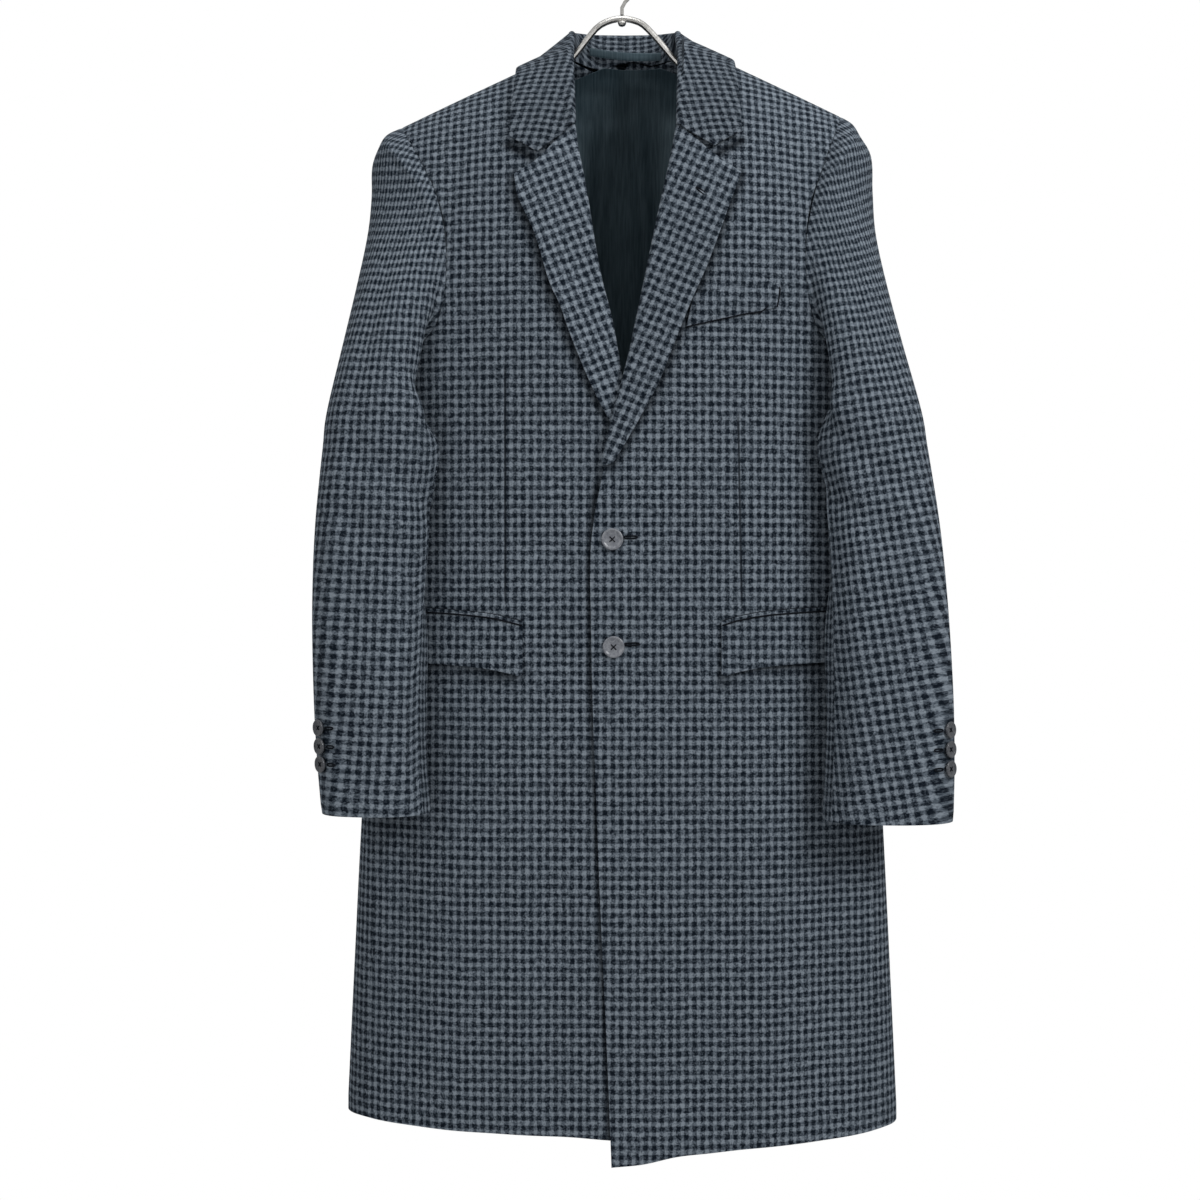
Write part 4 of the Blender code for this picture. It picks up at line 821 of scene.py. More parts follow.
def clear_of_body(p, lift):
    """Moves points out until they stand clear of the body by the lift."""
    x, y, z = p[..., 0], p[..., 1].copy(), p[..., 2].copy()
    for side, fall in ((-1, FRONT_FALL), (1, BACK_FALL)):
        reach = body(z, "front" if side < 0 else "back")
        across = np.clip(1 - (x / body(z, "half_width")) ** 2, 0, 1) ** (FLATNESS / 2)
        a, b = reach * across + lift, fall + lift * 1.15
        centre = shoulder(x) - fall
        e = np.hypot(y / a, (z - centre) / b)
        own = y * side >= 0
        near = own & (z > centre) & (e < 1)
        y, z = np.where(near, y / e, y), np.where(near, centre + (z - centre) / e, z)
        low = own & (z <= centre) & (np.abs(y) < a)
        y = np.where(low, side * a, y)
    return np.stack([x, y, z], -1)


def shoulder_point(x, turn):
    """Body points at x and an angle round the shoulder line in degrees, plus towards the back."""
    side = np.where(turn < 0, -1, 1)
    fall = np.where(turn < 0, FRONT_FALL, BACK_FALL)
    z = shoulder(x) - fall * (1 - np.cos(np.radians(turn)))
    y = np.where(side < 0, depth(x, z, -1), depth(x, z, 1))
    return np.stack([x, y, z], -1)


def neck_seam(side, s):
    """The edge of the fronts and back where the collar is sewn on, from the centre back (0) by
    the shoulder seam to the gorge (1), and the body's normal along it."""
    shoulder_at = 4 / 7
    behind = s < shoulder_at
    neck = NECK_X + side * NECK_HALF[side]
    back_share = np.clip(s / shoulder_at, 0, 1)
    front_share = np.clip((s - shoulder_at) / (1 - shoulder_at), 0, 1)
    gorge = float(roll_edge(side, GORGE_Z[side])) + side * ROLL
    front_x = neck + (gorge - neck) * front_share
    x = np.where(behind, NECK_X + side * NECK_HALF[side] * back_share, front_x)
    corners = np.clip((upper_rows(UPPER_ROWS) - 0.8) / 0.2, 0, 1)
    below_corners = column(BACK_NECK, BACK_NECK_COLUMNS, "below_shoulder", corners)
    below = np.interp(back_share, corners, below_corners)
    front_z = shoulder(neck) + (GORGE_Z[side] - shoulder(neck)) * front_share
    z = np.where(behind, shoulder(x) - below, front_z)
    back, front = on_body(x, z, 1), on_body(x, z, -1)
    return tuple(np.where(behind[:, None], back[i], front[i]) for i in (0, 1))


def fold_frame(side, s):
    """The collar's fold: its top, the way it points, and the way out to the fall."""
    t = dict(zip(COLLAR_COLUMNS, along(COLLAR, s).T))
    top = np.stack([NECK_X - side * t["fold_x"], t["fold_y"], t["fold_z"]], -1)
    lengthwise = unit(np.gradient(top, axis=0))
    lengthwise[-1] = (0, 0, 1)
    up = np.stack([-side * t["top_x"], 0 * s, t["top_z"]], -1)
    up = unit(up - lengthwise * np.sum(up * lengthwise, -1, keepdims=True))
    out = np.stack([-side * t["out_x"], t["out_y"], 0 * s], -1)
    out -= lengthwise * np.sum(out * lengthwise, -1, keepdims=True)
    out = unit(out - up * np.sum(out * up, -1, keepdims=True))
    edge = shoulder_point(NECK_X - side * t["edge_x"], t["edge_turn"])
    return top, up, out, edge


def collar_half(side, cols, stand, fold, fall):
    """Half of the collar: rows from the centre back to the gorge, each from the foot of the
    stand over the fold down to the edge of the fall."""
    s = np.linspace(0, 1, cols + 1)
    seam, n = neck_seam(side, s)
    top, up, out, edge = fold_frame(side, s)
    top[:, 0] += (float(roll_edge(side, GORGE_Z[side])) - top[-1, 0]) * smoothstep((s - 0.7) / 0.3)
    top[-1, 2] = GORGE_Z[side] + 3 * NOTCH_GAP
    away = np.cross(unit(np.gradient(seam, axis=0)), n)
    towards = np.array([NECK_X, 0.0, 0.0]) - seam * [1, 1, 0] + [0, 0, 0.02]
    away *= np.sign(np.sum(away * towards, -1))[:, None]
    wrapped = smoothstep((s - 0.66) / 0.30)[:, None]
    radius = FOLD_RADIUS + (CLOTH / 2 + LAYER - FOLD_RADIUS) * wrapped
    centre = top - up * radius

    def turn(a):
        """The point of the fold at an angle round its middle, from the inside over the top."""
        return centre + radius * (up * np.sin(a) - out * np.cos(a))

    start = np.radians(75) * wrapped
    turned = np.stack([turn(start + (math.pi - start) * f) for f in np.linspace(0, 1, fold + 1)], 1)
    foot = seam + away * (LIE + 4 * SEAM) - out * CLOTH
    foot = foot * (1 - wrapped) + turn(start - np.radians(30)) * wrapped
    w = np.linspace(0, 1, stand + 1)[:-1, None]
    stood = foot[:, None] * (1 - w) + turned[:, :1] * w
    root, notch, point = turned[-1, -1], NOTCH[side], COLLAR_POINT[side]
    notch_at = (abs(notch[0]) - abs(root[0])) / (abs(point[0]) - abs(root[0]))
    w = np.linspace(0, 1, fall + 1)[1:, None]
    w[np.argmin(np.abs(w - notch_at))] = notch_at
    fallen = turned[:, -1:] * (1 - w) + edge[:, None] * w
    end_x = np.interp(w[:, 0], (0, 1), (root[0], point[0]))
    end_z = np.interp(w[:, 0], (0, notch_at, 1), (root[2], notch[1] + NOTCH_GAP, point[1]))
    near_end = smoothstep((s - 0.80) / 0.20)[:, None]
    fallen[:, :, 0] += (end_x - fallen[-1, :, 0]) * near_end
    fallen[:, :, 2] += (end_z - fallen[-1, :, 2]) * near_end
    fallen = clear_of_body(fallen, LAYER + COLLAR_LIFT)
    return np.concatenate([stood, turned, fallen], 1)


STAND, FOLD, FALL = 14, 16, 30  # columns of the stand, the roll and the fall
halves = [collar_half(side, 84, STAND, FOLD, FALL) for side in (-1, 1)]
p = np.concatenate([halves[0][::-1], halves[1][1:]])
x, y, z = np.moveaxis(p, -1, 0)
side = np.where(x < NECK_X, -1.0, 1.0)
in_front = smoothstep(-y / 0.04)
p[..., 1] -= np.where(side < 0, lifted(x, z, -1), lifted(x, z, 1)) * in_front
# The rows of the check slope down to the middle in front, and are level behind.
COLLAR_TURN, TURNED_AT = math.radians(15), (0.075, -0.170)
uv = rotated(np.abs(x) - TURNED_AT[0], z - TURNED_AT[1], COLLAR_TURN * in_front)
uv = np.stack([side * uv[..., 0], uv[..., 1] + y], -1)
# The collar's wool is a darker copy: painted shade.
collar = shell("collar_cloth", p, (0.0, 1.0, 0.3), uv, wool("wool collar", 0.80))
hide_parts("collar")
behind = ["back_left_cloth", "back_right_cloth"]


# Sleeves
# Two-piece sleeves set into the armholes: a wide top piece outside and a narrower one under the
# arm, joined by a front and a back seam, with a slight forward bend at the elbow.
# z, outer x, inner x, middle y and half depth of each section.
SLEEVE = {
    -1: ((-0.450, -0.2765, -0.1620, -0.035, 0.066), (-0.500, -0.2810, -0.1660, -0.043, 0.061),
         (-0.560, -0.2850, -0.1720, -0.053, 0.054), (-0.640, -0.2855, -0.1775, -0.066, 0.045),
         (-0.740, -0.2820, -0.1815, -0.071, 0.043), (-0.817, -0.2755, -0.1768, -0.074, 0.042)),
    1: ((-0.450, 0.2785, 0.1705, -0.035, 0.066), (-0.500, 0.2860, 0.1775, -0.043, 0.061),
        (-0.560, 0.2935, 0.1840, -0.053, 0.054), (-0.640, 0.2990, 0.1865, -0.066, 0.045),
        (-0.740, 0.3030, 0.1870, -0.071, 0.044), (-0.824, 0.3015, 0.1833, -0.074, 0.043)),
}
SLEEVE_SECTION = 2.4  # 2 is an ellipse, more is squarer
SLEEVE_LINE_COLUMNS = ("armhole_share", "degrees")
SLEEVE_LINES = (
    (0.000, 14), (0.120, 50), (0.250, 90), (0.340, 130), (0.410, 170), (0.470, 205), (0.530, 235),
    (0.600, 262), (0.720, 303), (0.850, 342), (1.000, 374),
)
HEAD_RINGS, FRONT_SEAM_ROW, BACK_SEAM_ROW = 8, 2, 8


def armhole_loop(side):
    """Points of the armhole, from the shoulder point down the front, past the side seam and up
    the back, each on a corner of the panels' edge. With them the body's normal there, the way
    across the seam into the hole, and each point's share of the way round."""
    share = np.concatenate([[0], upper_rows(UPPER_ROWS)])
    front_x, front_z = armhole_front(side, share)
    front, back_angle, back_z = on_body(front_x, front_z, -1), *armhole_back(side, share)
    back_x = side * body(back_z, "half_width") * np.sin(back_angle)
    ahead = (back_angle <= math.pi / 2)[:, None]
    sides = on_body(back_x, back_z, -1), on_body(back_x, back_z, 1)
    p, n = (
        np.concatenate([front[i][::-1], np.where(ahead, sides[0][i], sides[1][i])[1:]]) for i in (0, 1)
    )
    lengths = np.concatenate([[0], np.cumsum(np.linalg.norm(np.diff(p, axis=0), axis=1))])
    step = np.gradient(p, axis=0)
    step[0] = step[-1] = p[1] - p[-2]
    into = unit(np.cross(step, n))
    into *= np.sign(np.sum(into * (p[:-1].mean(0) - p), -1))[:, None]
    return p, n, into, lengths / lengths[-1]


def outside(p, gap):
    """Above 1 where a point stands outside the body's section at its height, by the gap."""
    x, y, z = p[..., 0], p[..., 1], p[..., 2]
    reach = np.where(y < 0, body(z, "front"), body(z, "back")) + gap
    return (x / (body(z, "half_width") + gap)) ** 2 + (np.abs(y) / reach) ** (2 / FLATNESS)


def drawn_in(p, middle, gap):
    """Draws a ring's points towards its middle until they stand outside the body."""
    low, high = np.zeros(p.shape[:-1]), np.ones(p.shape[:-1])
    for _ in range(24):
        k = np.where(outside(p, gap) >= 1, 1.0, (low + high) / 2)
        clear = outside(middle + (p - middle) * k[..., None], gap) >= 1
        low, high = np.where(clear, k, low), np.where(clear, high, k)
    k = np.where(outside(p, gap) >= 1, 1.0, low)[..., None]
    return middle + (p - middle) * k


def pushed_out(p, gap):
    """Moves points the short way out of the body's section until they stand outside it."""
    p = p.copy()
    for _ in range(12):
        x, y, z = p[..., 0], p[..., 1], p[..., 2]
        reach = np.where(y < 0, body(z, "front"), body(z, "back")) + gap
        wide = body(z, "half_width") + gap
        slope_x = 2 * x / wide**2
        slope_y = 2 / FLATNESS * np.abs(y / reach) ** (2 / FLATNESS - 1) / reach * np.sign(y)
        short = np.clip(1 - outside(p, gap), 0, None) / (slope_x**2 + slope_y**2)
        p[..., 0] += slope_x * short * 0.7
        p[..., 1] += slope_y * short * 0.7
    return p


def ringed_round(grid):
    """A grid whose rows are rings, with a column from the other end added at each end."""
    return np.concatenate([grid[:, -2:-1], grid, grid[:, 1:2]], 1)


def sleeve_grid(side, tube=9):
    """The sleeve's right side: a row for each ring from the armhole down to the cuff, a column
    for each corner of the armhole, and the normals."""
    start, n, into, share = armhole_loop(side)
    low = np.exp(-(((share - 0.52) / 0.13) ** 2))[:, None]
    leave = unit(into * (1 - low) + n * low)
    start = start + into * 2 * SEAM * (1 - low) + n * 3 * SEAM * low
    angle = np.radians(column(SLEEVE_LINES, SLEEVE_LINE_COLUMNS, "degrees", share))
    z, outer_x, inner_x, y, half = along(SLEEVE[side], np.linspace(0, 1, tube)).T[:, :, None]
    c, s = (np.sign(v) * np.abs(v) ** (2 / SLEEVE_SECTION) for v in (np.cos(angle), np.sin(angle)))
    x = (outer_x + inner_x) / 2 + (outer_x - inner_x) / 2 * c
    down = np.stack([x, y - half * s, np.broadcast_to(z, x.shape)], -1)
    middle = np.stack([outer_x * 0.66 + inner_x * 0.34, y - 0.018, z], -1)
    gap = 0.0090 - 0.0010 * smoothstep((-0.50 - down[..., 2]) / 0.08)
    down = drawn_in(down, middle, gap)
    fall = unit(down[1] - down[0])
    span = np.linalg.norm(down[0] - start, axis=-1, keepdims=True)
    t = np.linspace(0, 1, HEAD_RINGS + 1)[:-1, None, None] ** 1.25
    p1 = start + leave * np.clip(span * 0.05, 0.006, 0.010)
    p2 = down[0] - fall * span * 0.50
    p2[:, 0] -= side * 0.018 * np.clip(np.cos(angle), 0, 1)
    headed = (1 - t) ** 3 * start + 3 * (1 - t) ** 2 * t * p1 + 3 * (1 - t) * t**2 * p2 + t**3 * down[0]
    ease = LIE + (0.0045 - LIE) * smoothstep(np.arange(1, HEAD_RINGS) / 4)[:, None]
    p = np.concatenate([headed, down])
    head = p[1:HEAD_RINGS]
    ease = ease - 0.016 * smoothstep((head[..., 2] + 0.200) / 0.04)
    head[:] = pushed_out(head, ease)
    for _ in range(3):
        ring = ringed_round(p)
        even = (p[:-2] + p[2:] + ring[1:-1, :-2] + ring[1:-1, 2:]) / 4
        head += 0.5 * (even[: HEAD_RINGS - 1] - head)
        head[:] = pushed_out(head, ease)
    normals = grid_normals(ringed_round(p))[:, 1:-1]
    normals *= np.sign(np.sum(normals[-1] * (p[-1] - p[-1].mean(0))))
    for _ in range(3):
        ring = ringed_round(normals)
        normals = unit(normals + (ring[:, :-2] + ring[:, 2:]) / 2)
    return p, normals


# Creases as degrees round the sleeve from its outer edge by the front, height, length, width in
# metres, depth and lean: a long press along the arm, and short breaks at the elbow.
SLEEVE_FOLDS = {
    -1: (
        (66, -0.42, 0.13, 0.010, 0.0030, 0.06), (78, -0.60, 0.22, 0.012, 0.0026, -0.03),
        (120, -0.52, 0.05, 0.012, 0.0034, 0.9), (95, -0.57, 0.05, 0.010, 0.0026, 0.8),
        (140, -0.44, 0.05, 0.010, 0.0030, 0.7), (40, -0.36, 0.09, 0.016, -0.0020, 0.0),
        (250, -0.50, 0.07, 0.014, 0.0040, 0.7), (285, -0.60, 0.09, 0.016, 0.0034, 0.4),
    ),
    1: (
        (70, -0.40, 0.12, 0.011, 0.0028, -0.05), (96, -0.62, 0.18, 0.012, 0.0024, 0.03),
        (125, -0.54, 0.05, 0.012, 0.0034, -0.9), (100, -0.50, 0.05, 0.010, 0.0028, -0.8),
        (142, -0.45, 0.05, 0.010, 0.0030, -0.7), (38, -0.38, 0.09, 0.016, -0.0018, 0.0),
        (255, -0.52, 0.07, 0.014, 0.0040, -0.7), (290, -0.62, 0.09, 0.016, 0.0032, -0.4),
    ),
}
DEGREE = 0.00085  # the length of one degree round a sleeve
SLEEVE_FINE = 6
SLEEVE_LEAN = {-1: math.radians(-2.0), 1: math.radians(9.0)}  # of the top piece's check


def unrolled(p, n, level):
    """Where each point lies on the flat cloth: lengths across and up it, added along a level row
    and then along each line of the grid, as shares of the level and the upward way on it."""
    up = unit(np.array([0.0, 0.0, 1.0]) - n * n[..., 2:])
    aside = np.cross(up, n)
    row, ways = p[level], (aside[level, 1:] + aside[level, :-1]) / 2
    start = np.concatenate([[0], np.cumsum(np.sum(np.diff(row, axis=0) * ways, -1))])
    step = np.diff(p, axis=0)
    out = []
    for way, begin in ((aside, start - start[len(start) // 2]), (up, row[:, 2])):
        run = np.cumsum(np.sum(step * (way[1:] + way[:-1]) / 2, -1), 0)
        run = np.concatenate([np.zeros((1, p.shape[1])), run])
        out.append(run - run[level] + begin)
    return out


for side, name in SIDES:
    whole, _ = sleeve_grid(side)
    share = armhole_loop(side)[3]
    last = whole.shape[1] - 1
    front, behind = last // 2 - FRONT_SEAM_ROW, last // 2 + BACK_SEAM_ROW
    middle = along(whole[:, :-1].mean(1), np.linspace(0, 1, (len(whole) - 1) * SLEEVE_FINE + 1))[:, None]
    for label, picked, slot in (
        ("top", np.arange(behind, last + front + 1) % last, "wool"),
        ("under", np.arange(front, behind + 1), "wool_under"),
    ):
        piece = whole[:, picked].copy()
        for edge, inner in ((0, 1), (-1, -2)):
            piece[:, edge] += unit(piece[:, inner] - piece[:, edge]) * SEAM / 2
        degrees = column(SLEEVE_LINES, SLEEVE_LINE_COLUMNS, "degrees", share[picked])
        if label == "top":
            degrees[: last - behind] -= 360
        p = finer(piece, SLEEVE_FINE, SLEEVE_FINE)
        turn = along(degrees, np.linspace(0, 1, (len(picked) - 1) * SLEEVE_FINE + 1))
        n = grid_normals(p)
        n *= np.sign(np.sum(n * (p - middle), -1).sum())
        z = p[..., 2]
        lean = SLEEVE_LEAN[side] if label == "top" else 0.0
        uv = rotated(*unrolled(p, n, HEAD_RINGS * SLEEVE_FINE), lean)
        push = sum(
            trough((turn - at) * DEGREE, z, (0.0, height), *rest)
            for at, height, *rest in SLEEVE_FOLDS[side]
        )
        held = smoothstep((-0.24 - z) / 0.05)
        p = p - n * (push * held)[..., None]
        facing = n[n.shape[0] // 2, n.shape[1] // 2]
        # The under piece's wool is a darker copy: painted shade under the arm.
        woven = wool(f"wool sleeve {label} {name}", 1.0 if label == "top" else 0.92)
        cloth = shell(f"sleeve_{label}_{name}_cloth", p, facing, uv, woven)
        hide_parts(f"sleeve_{label}_{name}")
        flat, area = ((0.23, 0.66), 0.135) if label == "top" else ((0.16, 0.52), 0.075)


# Pockets
# Hip pockets with a narrow jet above a flap that covers the mouth, and a slanting welt on the
# wearer's left breast, all of the wool with the check running level.
WELT_LOW = ((0.0580, -0.3740), (0.1416, -0.3541))  # the ends of its lower edge, as x and z
WELT_HIGH = ((0.0650, -0.3440), (0.1435, -0.3320))
FLAP_LIFT = 0.0026  # how far the flap's free edge stands off


def on_front(x, z, lift, left):
    """Points of a piece that lies on a front, moved out by the lift, where seen at x, z."""
    return np.stack([x, depth(x, z, -1, left) - lift, z], -1)


def yarn(name, colour):
    """Twisted sewing yarn: fine noise for its twist and fuzz, and a dull surface."""
    g = Graph(name, 0.75)
    twist = g.noise(g.in_space(), 2600.0, 1.0)
    g.bump(twist, 0.5, 0.0002)
    return g.surface(Base_Color=g.mix(twist, colour, [c * 2.2 for c in colour]), Specular_IOR_Level=0.1)


def rings_joined(name, rings, material, caps=2):
    """A surface through rings of points. With two caps both ends are closed, with one the
    first, and with none the last ring joins the first."""
    rows, cols = rings.shape[:2]
    k = np.arange(rows * cols).reshape(rows, cols)
    low, top = (k[:-1], k[1:]) if caps else (k, np.roll(k, -1, axis=0))
    faces = np.stack([low, np.roll(low, -1, 1), np.roll(top, -1, 1), top], -1).reshape(-1, 4).tolist()
    faces += [k[0, ::-1].tolist(), k[-1].tolist()][:caps]
    mesh = bpy.data.meshes.new(name)
    mesh.from_pydata(rings.reshape(-1, 3), [], faces)
    return finished(name, mesh, material)


def stitch(name, points, radius, material, closed=False):
    """A thread along points: a ring of eight points carried along them."""
    p = np.asarray(points, float)
    ahead = unit(np.roll(p, -1, axis=0) - np.roll(p, 1, axis=0) if closed else np.gradient(p, axis=0))
    aside = unit(np.cross(ahead, (0.0, -1.0, 0.15)))
    a = np.linspace(0, 2 * math.pi, 9)[:-1, None]
    up = np.cross(aside, ahead)
    tube = p[:, None] + radius * (np.cos(a) * aside[:, None] + np.sin(a) * up[:, None])
    made = rings_joined(name, tube, material, 0 if closed else 2)
    return made


navy = yarn("navy yarn", (0.0015, 0.0022, 0.0040))
SEAM_THREAD = 0.0007
for side, name in SIDES:
    top = along(FLAP[side], np.linspace(0, 1, 64))
    x = np.broadcast_to(top[:, 0], (25, 64))
    w = np.linspace(0, 1, 25)[:, None]
    from_end = np.minimum(np.arange(64), np.arange(63, -1, -1)) / 63 * abs(top[-1, 0] - top[0, 0])
    corner = FLAP_CORNER - np.sqrt(FLAP_CORNER**2 - np.clip(FLAP_CORNER - from_end, 0, None) ** 2)
    for label, high, low, cut, lift, flat, area in (
        ("jet", JET_HEIGHT, SEAM, 0.0, 0.0, (0.125, 0.010), 0.00060),
        ("flap", 0.0, -FLAP_HEIGHT, 0.5 * corner, FLAP_LIFT, (0.125, 0.0465), 0.0058),
    ):
        z = top[:, 1] + high + (low - high) * w + w**2 * cut
        p = on_front(x, z, LAYER + lift * w**2, side < 0)
        uv = grain(p, -1) + [0.0021, 0.0016]
        # The jet's and flap's wool is a slightly darker copy: painted shade.
        made = shell(f"{label}_{name}_cloth", p, TOWARDS_LENS, uv, wool(f"wool {label} {name}", 0.98))
        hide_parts(f"{label}_{name}")

    # Dark navy threads along the jet's top and foot: painted shade in those seams, drawn as thread.
    for label, high, lift in (
        ("jet_top_painted_shade", JET_HEIGHT + 0.0004, LAYER - 0.0014), ("jet_foot_painted_shade", 0.0002, LAYER + 0.0004)
    ):
        line = on_front(top[:, 0], top[:, 1] + high, lift, side < 0)
        stitch(f"seam_{label}_{name}", line, SEAM_THREAD, navy)

s, w = np.linspace(0, 1, 48)[:, None], np.linspace(0, 1, 12)[:, None, None]
low, high = (np.array(start) * (1 - s) + np.array(end) * s for start, end in (WELT_LOW, WELT_HIGH))
x, z = np.moveaxis(low * (1 - w) + high * w, -1, 0)
p = on_front(x, z, 0.0018 + 0.0008 * np.sin(math.pi * w[..., 0]), False)
uv = grain(p, -1) + [0.001, 0.002]
# The welt's wool is a slightly darker copy: painted shade.
welt = shell("breast_welt_cloth", p, TOWARDS_LENS, uv, wool("wool welt", 0.98), 0.0013)
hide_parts("breast_welt")
# A dark navy thread along the welt's seam: painted shade in the seam, drawn as thread.
seam = np.concatenate([low - [0.0, 0.0004], high[-1:] + [0.0004, -0.004]])
seam = along(np.concatenate([seam[::8], seam[-2:]]), np.linspace(0, 1, 60))
stitch("painted_shade_breast_welt", on_front(seam[:, 0], seam[:, 1], 0.0016, False), 0.0006, navy)


# Buttons
# Turned buttons of dark marbled horn, polished, with a raised rim round a shallow dish and
# crossed navy thread: two on the front edge, and three small ones at each cuff. Their grey
# colour is partly painted reflection of bright surroundings, paler on the two front ones.
def horn(name, tone):
    """Marbled horn: cloudy veins in a grey of that tone, partly painted reflection, under a polish."""
    g = Graph(name, 0.18)
    veins = g.noise(g.in_space(), 260.0, 5.0, Distortion=1.4)
    low, high = ([tone * part for part in parts] for parts in ((0.75, 0.80, 0.92), (1.3, 1.36, 1.48)))
    g.bump(veins, 0.08, 0.0002)
    return g.surface(Base_Color=g.mix(g.ramp(veins, 0.35, 0.7), low, high), Specular_IOR_Level=0.35)


# Radius as a share of the whole, and height in metres, from the back round to the middle.
BUTTON_PROFILE = np.array((
    (0.30, 0.0), (0.55, 0.0), (0.84, 0.0004), (0.96, 0.0011), (1.0, 0.0018), (0.99, 0.0025),
    (0.95, 0.0030), (0.88, 0.0031), (0.80, 0.0029), (0.72, 0.0024), (0.62, 0.0021), (0.40, 0.0020),
    (0.20, 0.0020), (0.0, 0.0020),
))


def turned(name, middle, facing, radius, material):
    """A lathe shape: the profile of radius and height carried round the way that it faces."""
    facing = unit(np.asarray(facing, float))
    across = unit(np.cross(facing, (0.0, 0.0, 1.0)))
    up = np.cross(across, facing)
    a = np.linspace(0, 2 * math.pi, 49)[:-1, None]
    ring = np.cos(a) * across + np.sin(a) * up
    share, height = BUTTON_PROFILE.T[:, :, None, None]
    made = rings_joined(name, middle + ring * (share * radius) + facing * height, material, 1)
    return made, across, up


FRONT_BUTTONS = ((-0.0100, -0.5681), (-0.0088, -0.6664))
CUFF_BUTTON_Z = {-1: (-0.7385, -0.7552, -0.7712), 1: (-0.7405, -0.7580, -0.7755)}
CUFF_BUTTON_DEGREES = 37  # round the sleeve from its outer edge
FRONT_BUTTON, CUFF_BUTTON = 0.0100, 0.0076  # radii
BUTTON_FACE, HOLE_SHARE, THREAD = 0.0020, 0.20, 0.00052


def on_sleeve(side, degrees, z):
    """A point of the sleeve's right side at a height and an angle, and the normal there."""
    p, n = sleeve_grid(side)
    share = armhole_loop(side)[3]
    at = np.interp(degrees, *np.array(SLEEVE_LINES)[:, ::-1].T)
    rows = p[HEAD_RINGS:, :, 2].mean(1)

    def read(grid):
        """A grid's value there, first round each ring and then down the rings."""
        line = [[np.interp(at, share, row[:, i]) for i in range(3)] for row in grid[HEAD_RINGS:]]
        return np.array([np.interp(-z, -rows, np.array(line)[:, i]) for i in range(3)])

    return read(p), unit(read(n))


# The front buttons' paler tone is painted reflection; the cuff ones are darker.
polished = {FRONT_BUTTON: horn("front horn", 0.17), CUFF_BUTTON: horn("cuff horn", 0.07)}
places = [
    (f"front_button_{i}", *on_body(np.array(x), np.array(z), -1), LIE, FRONT_BUTTON)
    for i, (x, z) in enumerate(FRONT_BUTTONS, 1)
]
places += [
    (f"cuff_button_{name}_{i}", *on_sleeve(side, CUFF_BUTTON_DEGREES, z), LIE + SEAM, CUFF_BUTTON)
    for side, name in SIDES for i, z in enumerate(CUFF_BUTTON_Z[side], 1)
]
for name, middle, facing, lift, radius in places:
    middle = middle + facing * lift
    made, across, up = turned(f"{name}_horn", middle, facing, radius, polished[radius])
    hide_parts(name)
    hole, face = radius * HOLE_SHARE, middle + facing * BUTTON_FACE
    t = np.linspace(-1, 1, 9)[:, None]
    for sign, label in ((-1, "a"), (1, "b")):
        line = face + hole * 1.2 * t * (across + sign * up)
        stitch(f"{name}_thread_{label}", line + facing * 0.0004 * np.cos(t * math.pi / 2), THREAD, navy)


# Buttonholes
# Worked buttonholes: a ring of close navy stitches round a cut, one beside each button on the
# front edge and at the cuffs, and one that slants across the wearer's left lapel.
def buttonhole(name, start, end, surface, width=0.0011):
    """Stitches along a narrow loop from start to end, laid on a surface given by a function."""
    a = np.linspace(0, 2 * math.pi, 73)[:-1]
    start, end = np.array(start), np.array(end)
    length = np.linalg.norm(end - start)
    onward = (end - start) / length
    across = np.array([-onward[1], onward[0]])
    x = (length / 2 - width) * np.sign(np.cos(a)) * np.abs(np.cos(a)) ** 0.35 + width * np.cos(a)
    flat = (start + end) / 2 + x[:, None] * onward + (width * np.sin(a))[:, None] * across
    stitch(name, surface(flat[:, 0], flat[:, 1]), SEAM_THREAD, navy, closed=True)


for name, start, end, lift in (
    ("front_1", (0.0008, -0.5662), (0.0128, -0.5662), 0.0006),
    ("front_2", (0.0012, -0.6640), (0.0146, -0.6636), 0.0006),
    ("lapel", (0.0665, -0.2479), (0.0840, -0.2609), LAYER + 0.0030),
):
    buttonhole(f"buttonhole_{name}", start, end, lambda x, z: on_front(x, z, lift, False))


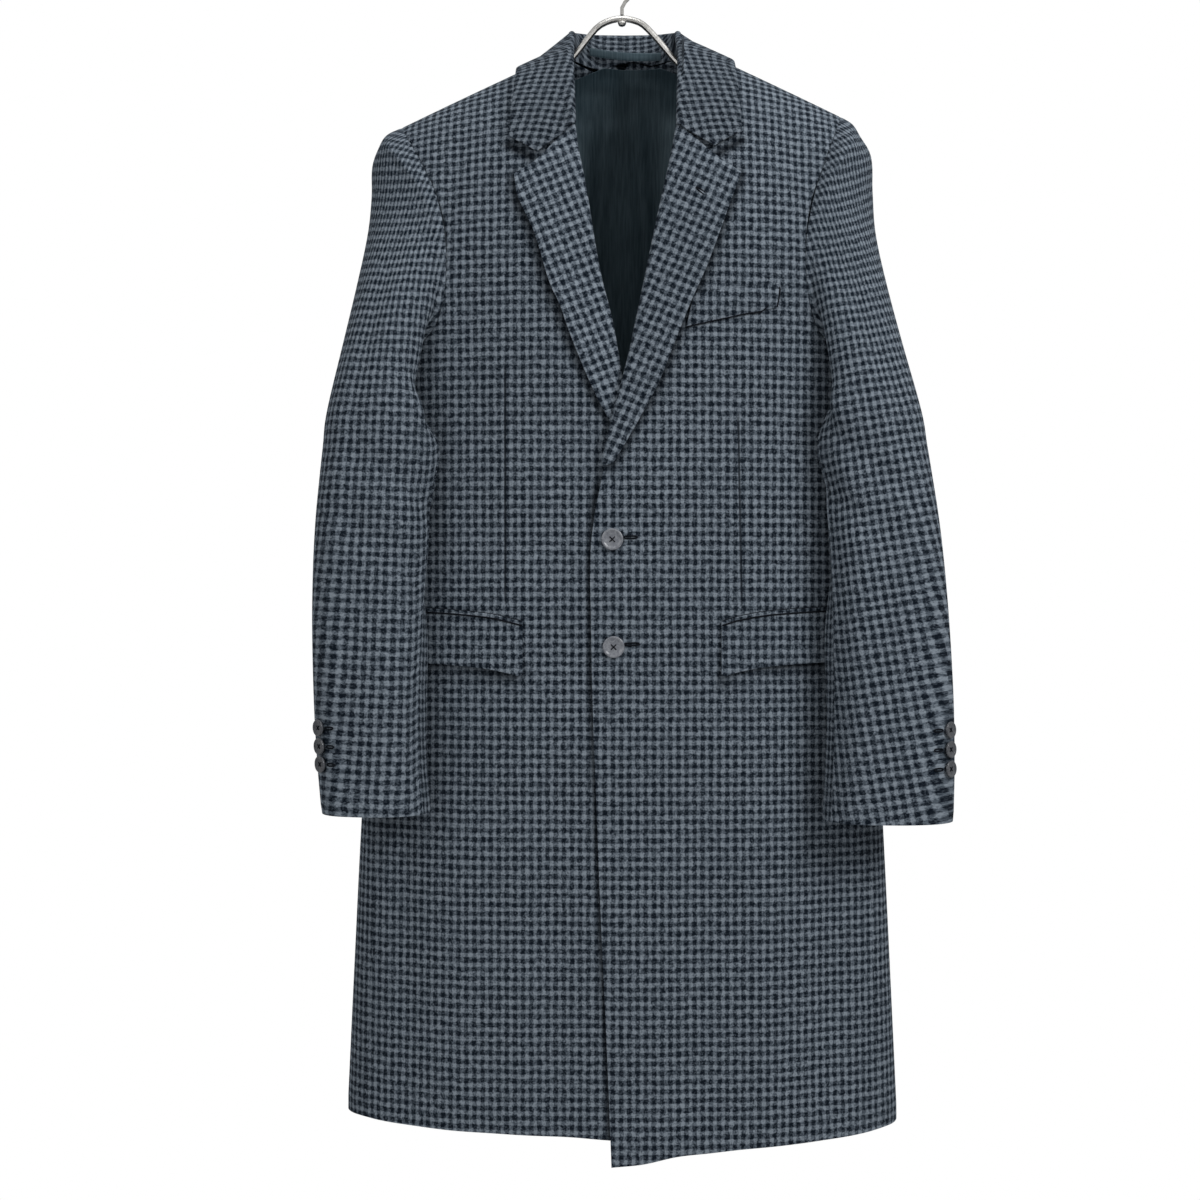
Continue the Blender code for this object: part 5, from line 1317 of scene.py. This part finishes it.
def inward(side, degrees, z):
    """The point of the cuff that many degrees from a button, on the side towards the body."""
    ways = [on_sleeve(side, CUFF_BUTTON_DEGREES + way * degrees, z) for way in (-1, 1)]
    point, facing = min(ways, key=lambda found: abs(found[0][0]))
    return point + facing * 0.0006


for side, name in SIDES:
    for i, z in enumerate(CUFF_BUTTON_Z[side], 1):
        near, far = inward(side, 11, z), inward(side, 22, z)
        length, onward = np.linalg.norm(far - near), unit(far - near)

        def on_cuff(x, y):
            """Places along the buttonhole from its near end, and up from it."""
            return near + x[:, None] * onward + y[:, None] * [0, 0, 1]

        buttonhole(f"buttonhole_cuff_{name}_{i}", (0, 0), (length, 0), on_cuff)


# Loop and hanger
# A narrow satin band across the inside of the neck to hang the coat by, and the chromed tube
# hanger that holds it here: one bent tube, a thin hook above it and a small nut under its top.
BAND_X, BAND_Z, BAND_HALF = (-0.0310, 0.0385), (-0.0835, -0.0885), 0.0036  # its ends, half width
x, z = np.linspace(*BAND_X, 72), np.linspace(*BAND_Z, 72)
bow = np.sin(np.linspace(0, math.pi, 72))
path = np.stack([x, 0.0375 - 0.0030 * bow - 3.0 * (x - NECK_X) ** 2, z - 0.002 * bow], -1)
w = np.linspace(-1, 1, 9)[:, None, None]
p = path[None] + w * [0.0, 0.0, BAND_HALF] + (1 - w**2) * [0.0, -0.0004, 0.0]
band = shell("hanger_loop_cloth", p, TOWARDS_LENS, p[..., [0, 2]], satin("satin loop"), LINING)
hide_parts("hanger_loop")

# Chrome: a tight gloss over metal, with slight wear that dulls it in places.
g = Graph("polished chrome", 0.09)
wear = g.noise(g.in_space(), 180.0, 4.0)
g.bump(wear, 0.01, 0.0001)
bright = g.mix(wear, (0.60, 0.59, 0.56), (0.74, 0.73, 0.71))
chrome = g.surface(Base_Color=bright, Roughness=g.ramp(wear, -1.2, 3.5), Metallic=1.0)
for name in ("hanger_bar", "hanger_hook", "hanger_nut"):
    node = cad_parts[name]
    node.data.materials.clear()
    node.data.materials.append(chrome)
